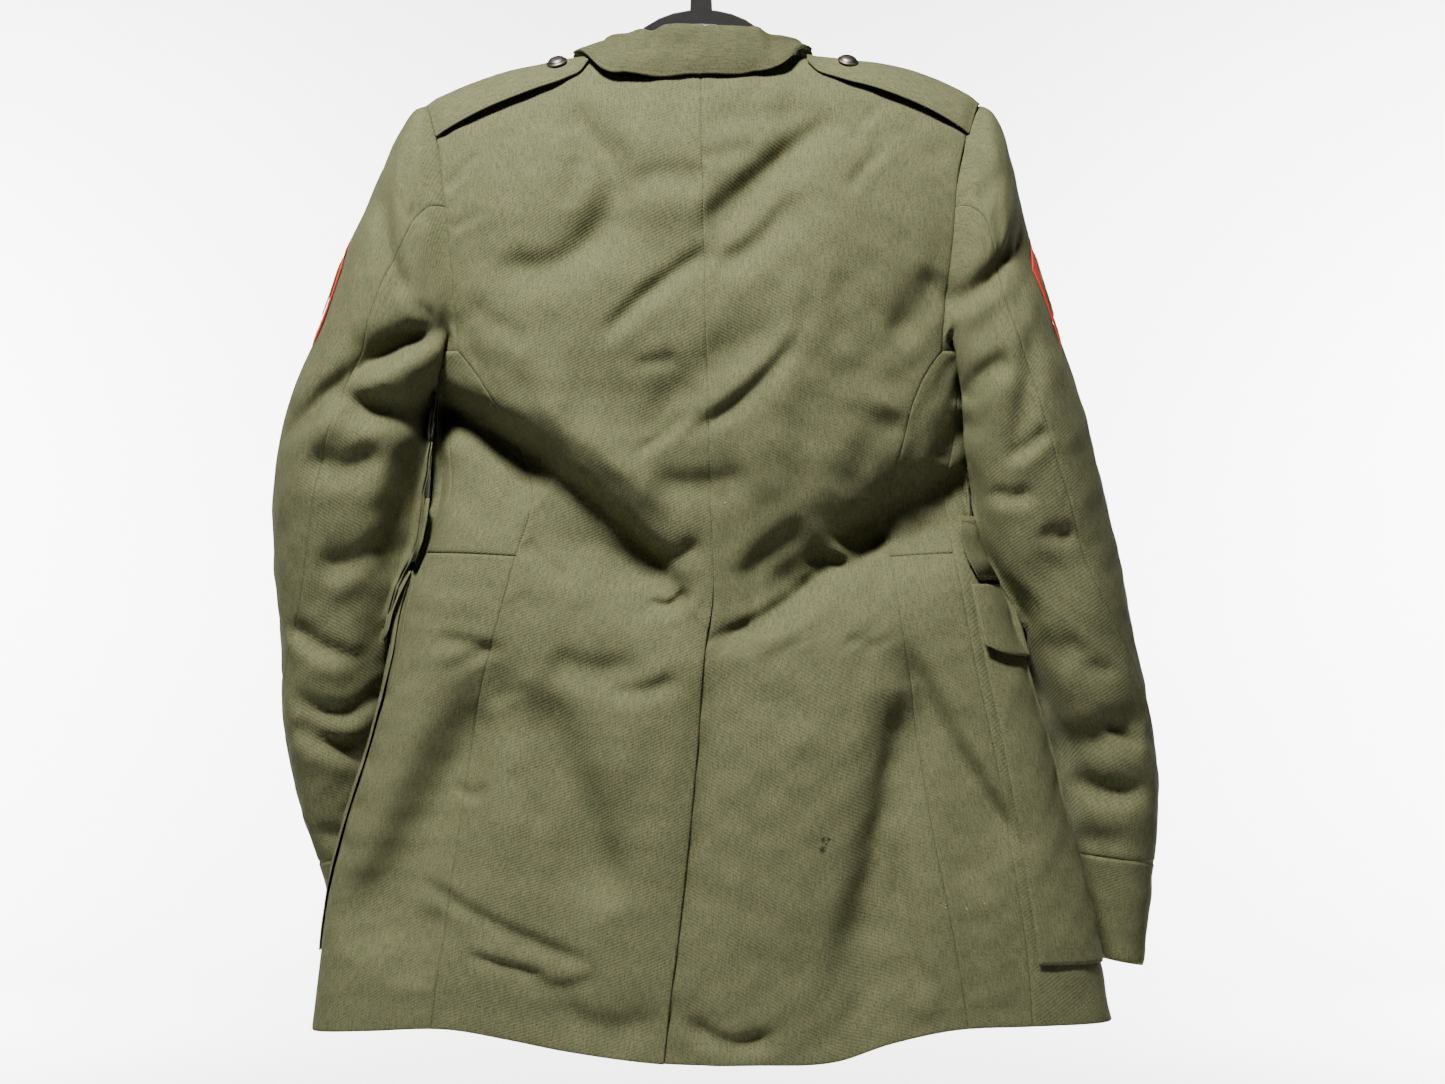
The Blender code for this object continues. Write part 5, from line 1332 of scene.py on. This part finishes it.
def lint():
    """The pale fibres that lie on the back of the skirt."""
    x, z = LINT["across"], LINT["height"]
    place, way = face(x, z, False)
    place, way = face(x, z - (place[:, 2] - z), False)
    place = folded(place, way, LINT_LIFT)
    turn = np.radians(LINT["turn"])
    ahead = np.stack([np.cos(turn), 0 * turn, np.sin(turn)], -1) * LINT["long"][:, None] / 2
    side = np.stack([-np.sin(turn), 0 * turn, np.cos(turn)], -1) * LINT_BEND
    ends = [place - ahead, place + side, place + ahead]
    return spindles("back_right_lint", ends, way, LINT_THICK, MATERIAL["lint"])


def from_part(line, begin):
    """The line from a share of its points on."""
    first = int(begin * len(line[0]))
    return line[0][first:], line[1][first:]


LINT_LIFT, LINT_BEND, LINT_THICK = 0.25, 0.5, 0.22
# A spindle's middle, top and sunk ends, in shares of its half thickness.
SPINDLE_UP, SPINDLE_HIGH, SPINDLE_SUNK = 0.45, 0.9, 0.5
# The pale fibres: place, turn in degrees and length.
LINT = table("across height turn long", [
    (184, -746, 60, 2.6),
    (200, -749, 120, 3.0),
    (213, -746, 20, 2.2),
    (19, -446, 50, 2.4),
    (184, -748, 130, 1.8),
    (183, -716, 75, 2.0),
])
# Sewing that shows: kind, ends of the pieces' names, edges, distance in from them, and where it begins.
LEFT, BOTH, ALONE = ("_left",), ("_left", "_right"), ("",)
SEWING = [
    ("back", LEFT, ("first",), 3.4, 0.555),
    ("front", LEFT, ("first",), 4.5, 0.34),
    ("back", BOTH, ("low",), 16.5, 0.0),
    ("side_lower", BOTH, ("low",), 16.5, 0.0),
    ("front", BOTH, ("low",), 16.5, 0.0),
    ("pocket", BOTH, ("first", "last", "low"), 3.0, 0.0),
    ("flap", BOTH, ("first", "last", "low"), 3.2, 0.0),
    ("cuff", BOTH, ("top",), 3.0, 0.0),
    ("strap", BOTH, ("first", "last"), 3.0, 0.0),
    ("collar_fall", ALONE, ("last",), 4.0, 0.0),
    ("lapel", BOTH, ("last",), 4.0, 0.0),
    ("belt", BOTH, ("top", "low"), 3.5, 0.0),
]


def sew_and_say():
    """Stitches on the pieces, and the pale lint on the right back."""
    for node, thing, flat, area, held, rests_on in SHEETS:
        lines = [from_part(inset(node, edge, far), begin) for kind, ends, edges, far, begin in SEWING
                 if node in [kind + end for end in ends] for edge in edges]
        extra = [stitches(node, lines)] if lines else []
        if node == "back_right":
            extra.append(lint())


def toned(share, colour):
    """A colour made lighter or darker."""
    return tuple(share * c for c in colour)


class Graph:
    """Short hand for building a material's nodes."""

    def __init__(self, name, colour, rough, metallic=0.0):
        self.material = bpy.data.materials.new(name)
        self.material.use_nodes = True
        self.nodes = self.material.node_tree.nodes
        self.links = self.material.node_tree.links
        self.surface = self.nodes["Principled BSDF"]
        self.set_values({"Base Color": (*colour, 1), "Roughness": rough, "Metallic": metallic})
        self.material.diffuse_color = (*colour, 1)

    def set_values(self, values):
        """Plain values of the surface."""
        for name, value in values.items():
            self.surface.inputs[name].default_value = value

    def plug(self, socket, value):
        """A link or a plain value into a socket."""
        if isinstance(value, bpy.types.NodeSocket):
            self.links.new(value, socket)
        else:
            socket.default_value = value

    def node(self, kind, **sockets):
        made = self.nodes.new("ShaderNode" + kind)
        for name, value in sockets.items():
            self.plug(made.inputs[name], value)
        return made

    def noise(self, vector, scale, detail=3.0):
        return self.node("TexNoise", Vector=vector, Scale=scale, Detail=detail, Roughness=0.6).outputs["Fac"]

    def stretch(self, vector, scale, turn=0.0):
        return self.node("Mapping", Vector=vector, Scale=scale, Rotation=(0, 0, turn)).outputs["Vector"]

    def blend(self, share, first, second):
        made = self.node("Mix")
        made.data_type = "RGBA"
        for index, value in ((0, share), (6, first), (7, second)):
            self.plug(made.inputs[index], (*value, 1) if isinstance(value, tuple) else value)
        return made.outputs[2]

    def span(self, *values):
        """A value spread from low and high to 0 and 1, or to two other ends."""
        made = self.node("MapRange")
        for index, value in enumerate(values):
            self.plug(made.inputs[index], value)
        return made.outputs[0]

    def math(self, how, first, second):
        made = self.node("Math")
        made.operation = how
        self.plug(made.inputs[0], first)
        self.plug(made.inputs[1], second)
        return made.outputs[0]

    def bump(self, height, strength, distance):
        made = self.node("Bump", Strength=strength, Distance=distance, Height=height)
        self.links.new(made.outputs["Normal"], self.surface.inputs["Normal"])

    def paint(self, tone, rough):
        """Tone and roughness into the surface."""
        self.links.new(tone, self.surface.inputs["Base Color"])
        self.links.new(rough, self.surface.inputs["Roughness"])


# Wool, on a map in metres: scale and lengthwise stretch of its noises, and the twill's ribs.
THREADS, THREAD_RUN = 760.0, 0.14
FIBRES, FIBRE_RUN = 1100.0, 0.5
CLOUDS, BROAD = 55.0, 9.0
RIB, RIB_TURN, RIB_SCALE = 1.15, 63, 0.16
WOOL_BUMP, WOOL_BUMP_SHARE = 0.0005, 0.55
THREAD_SPAN, WOOL_ROUGH = (0.38, 0.62), (0.86, 0.97)
# Layers of tone over the threads' own: which noise, from and to what value of it, the most that it
# covers, and how light its tone is against the base, or 0 for the cool tone.
WOOL_LAYERS = (
    ("fibres", 0.34, 0.66, 0.7, 1.35),
    ("fibres", 0.50, 0.34, 0.5, 0.55),
    ("clouds", 0.35, 0.65, 0.22, 0),
    ("broad", 0.3, 0.7, 0.16, 0.72),
)
MARK_RAGGED = 0.0009  # how uneven a stain's edge is
# The small stain low on the right back.
MARKS = table("across height radius", [
    (92, -696.5, 2.4), (91.5, -704, 3.2), (96.3, -696.5, 2.0), (94, -700, 1.7),
])


def marked(g, tone, base, fibres):
    """The tone with the dark spots of the stain on it."""
    spot = g.stretch(g.node("TexCoord").outputs["Object"], (1.0, 0.0, 1.0))
    for x, z, radius in zip(*MARKS.values()):
        far = g.node("VectorMath")
        far.operation = "DISTANCE"
        g.plug(far.inputs[0], spot)
        g.plug(far.inputs[1], (x * MM, 0.0, z * MM))
        edge = g.math("ADD", far.outputs["Value"], g.span(fibres, 0.3, 0.7, -MARK_RAGGED, MARK_RAGGED))
        shade = g.span(edge, radius * MM, 0.45 * radius * MM, 0.0, 0.85)
        tone = g.blend(shade, tone, toned(0.22, base))
    return tone


def wool(name, tones, fuzz=0.04, stained=False):
    """Heathered twill: mixed fibres in three tones, fine slanting ribs and a soft nap."""
    base, warm, cool = tones
    g = Graph(name, base, 0.92)
    where = g.node("UVMap").outputs["UV"]
    threads = g.noise(g.stretch(where, (1.0, THREAD_RUN, 1.0)), THREADS)
    fibres = g.noise(g.stretch(where, (1.0, FIBRE_RUN, 1.0)), FIBRES, 2.0)
    clouds = g.noise(where, CLOUDS)
    noises = {"fibres": fibres, "clouds": clouds, "broad": g.noise(where, BROAD, 2.0)}
    tone = g.blend(g.span(threads, *THREAD_SPAN), cool, warm)
    for kind, low, high, most, light in WOOL_LAYERS:
        layer = toned(light, base) if light else cool
        tone = g.blend(g.span(noises[kind], low, high, 0.0, most), tone, layer)
    if stained:
        tone = marked(g, tone, base, fibres)
    g.paint(tone, g.span(threads, 0.3, 0.7, *WOOL_ROUGH))
    slanted = g.stretch(where, (1000.0 / RIB,) * 3, math.radians(RIB_TURN))
    wave = g.node("TexWave", Vector=slanted, Scale=RIB_SCALE, Distortion=1.2, Detail=1.0)
    wave.bands_direction = "X"
    height = g.math("ADD", g.math("MULTIPLY", wave.outputs["Fac"], 0.45), g.math("MULTIPLY", fibres, 0.5))
    g.bump(g.math("ADD", height, g.math("MULTIPLY", clouds, 0.5)), WOOL_BUMP_SHARE, WOOL_BUMP)
    tint = (*(min(1.0, 3.4 * c) for c in base), 1)
    g.set_values({"Sheen Weight": fuzz, "Sheen Roughness": 0.45, "Sheen Tint": tint,
                  "Specular IOR Level": 0.12})
    return g.material


def metal(name, colour, rough, worn):
    """Metal with tarnish in patches, fine scratches and slight unevenness."""
    g = Graph(name, colour, rough, 1.0)
    where = g.node("TexCoord").outputs["Object"]
    patches = g.noise(where, 260.0, 4.0)
    lines = g.noise(g.stretch(where, (1.0, 1.0, 12.0)), 180.0)
    g.paint(g.blend(g.span(patches, 0.35, 0.7), colour, worn),
            g.span(lines, 0.3, 0.7, rough - 0.08, rough + 0.12))
    g.bump(g.math("ADD", patches, g.math("MULTIPLY", lines, 0.4)), 0.25, 0.0003)
    return g.material


def flock(name, colour):
    """Short dark pile on a thin board."""
    g = Graph(name, colour, 0.95)
    where = g.node("TexCoord").outputs["Object"]
    pile = g.noise(where, 1900.0, 2.0)
    patches = g.noise(where, 60.0)
    tone = g.blend(g.span(pile, 0.35, 0.65), toned(0.55, colour), toned(1.6, colour))
    tone = g.blend(g.span(patches, 0.4, 0.7, 0.0, 0.35), tone, toned(2.0, colour))
    g.paint(tone, g.span(pile, 0.3, 0.7, 0.88, 1.0))
    g.bump(pile, 0.5, 0.0004)
    g.set_values({"Sheen Weight": 0.4, "Sheen Roughness": 0.5})
    return g.material


def plain(name, colour, rough):
    """Pale studio paper with very slight variation."""
    g = Graph(name, colour, rough)
    where = g.node("TexCoord").outputs["Object"]
    tone = g.blend(g.span(g.noise(where, 3.0), 0.3, 0.7), colour, toned(0.985, colour))
    g.links.new(tone, g.surface.inputs["Base Color"])
    return g.material


# The studio paper: half its width, its front edge, floor, back, the bend between them, and its top.
PAPER, PAPER_FRONT, PAPER_FLOOR, PAPER_BACK, PAPER_BEND, PAPER_TOP = 1750, -500, -1250, 3600, 600, 900
BEND_STEPS = 12
# Lights, in metres and watts: place, aim, size, power and colour.
LIGHTS = (
    ("key_light", (-0.37, -1.20, 1.14), (0.0, 0.0, -0.42), 0.32, 79, (1.0, 0.99, 0.95)),
    ("fill_light", (1.7, -2.1, -0.1), (0.0, 0.0, -0.5), 1.6, 1.4, (1.0, 0.93, 1.0)),
    ("paper_light_left", (-2.1, 2.15, -0.2), (-0.1, 3.6, -0.5), 1.0, 330, (1.0, 1.0, 1.0)),
    ("paper_light_right", (2.1, 2.15, -0.2), (0.1, 3.6, -0.5), 1.0, 330, (1.0, 1.0, 1.0)),
)
SKY, SKY_STRENGTH = (1.0, 0.92, 1.0, 1), 0.02


def make_paper():
    """Pale floor that bends up into the backdrop."""
    turns = [math.pi / 2 * k / BEND_STEPS for k in range(BEND_STEPS + 1)]
    lines = [(PAPER_FRONT, PAPER_FLOOR)]
    lines += [(PAPER_BACK - PAPER_BEND + PAPER_BEND * math.sin(a),
               PAPER_FLOOR + PAPER_BEND - PAPER_BEND * math.cos(a)) for a in turns]
    lines += [(PAPER_BACK, PAPER_TOP)]
    points = [(x, y, z) for y, z in lines for x in (-PAPER, PAPER)]
    faces = [(2 * k, 2 * k + 1, 2 * k + 3, 2 * k + 2) for k in range(len(lines) - 1)]
    paper = mesh_piece("studio_paper", points, faces, plain("studio_paper", (0.88, 0.88, 0.87), 0.9))


def make_studio():
    """Paper, soft lights and the photograph's camera."""
    make_paper()
    for name, at, aim, size, watts, colour in LIGHTS:
        light = bpy.data.lights.new(name, "AREA")
        light.energy, light.size, light.color = watts, size, colour
        lamp = in_scene(name, light)
        lamp.location = at
        lamp.rotation_euler = (Vector(aim) - Vector(at)).to_track_quat("-Z", "Y").to_euler()
    world = bpy.data.worlds.new("studio_air")
    world.use_nodes = True
    air = world.node_tree.nodes["Background"]
    air.inputs["Color"].default_value = SKY
    air.inputs["Strength"].default_value = SKY_STRENGTH
    bpy.context.scene.world = world
    lens = bpy.data.cameras.new("photo_camera")
    lens.lens, lens.sensor_width, lens.clip_end = LENS, SENSOR, 20
    camera = in_scene("photo_camera", lens)
    camera.location = tuple(v * MM for v in CAMERA_AT)
    camera.rotation_euler = (math.pi / 2, 0, 0)
    bpy.context.scene.camera = camera


# Colours: base, warm and cool tone of each cloth.
THREAD = (0.150, 0.145, 0.085)
OLIVE = ((0.157, 0.162, 0.084), (0.222, 0.196, 0.114), (0.090, 0.116, 0.056))
# Painted shade: the collar's fall is the same wool as the rest, darkened by this share.
COLLAR_PAINTED_SHADE = 0.78
RED = ((0.80, 0.055, 0.040), (0.88, 0.080, 0.055), (0.68, 0.040, 0.030))
GREEN = ((0.10, 0.13, 0.05), (0.13, 0.15, 0.06), (0.08, 0.11, 0.045))
PALE = ((0.62, 0.60, 0.52), (0.66, 0.64, 0.58), (0.58, 0.56, 0.50))
MATERIAL = {
    "wool": wool("olive_wool", OLIVE),
    "marked": wool("olive_wool_marked", OLIVE, stained=True),
    # painted shade: a darker copy of the olive wool for the collar's fall
    "collar": wool("olive_wool_collar_painted_shade", [toned(COLLAR_PAINTED_SHADE, tone) for tone in OLIVE]),
    "lint": wool("pale_lint", PALE, 0.3),
    "thread": wool("olive_thread", (THREAD, THREAD, THREAD), 0.1),
    "red": wool("red_felt", RED, 0.05),
    "green": wool("green_felt", GREEN, 0.05),
    "button": metal("tarnished_bronze", (0.23, 0.21, 0.21), 0.42, (0.34, 0.28, 0.24)),
    "brass": metal("worn_brass", (0.62, 0.45, 0.20), 0.32, (0.42, 0.30, 0.15)),
    "hanger": flock("black_flock", (0.011, 0.010, 0.0105)),
    "steel": metal("plated_steel", (0.60, 0.60, 0.60), 0.24, (0.48, 0.48, 0.47)),
}
make_body()
make_arms()
make_collar()
for hand in (-1, 1):
    make_lapel(hand)
    make_strap(hand)
    make_pocket(hand)
make_belt()
make_front_buttons()
sew_and_say()
for node, name in (("belt_buckle", "brass"), ("belt_prong", "brass"), ("hanger_body", "hanger"),
                   ("hanger_hook", "steel")):
    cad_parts[node].material_slots[0].material = MATERIAL[name]
make_studio()
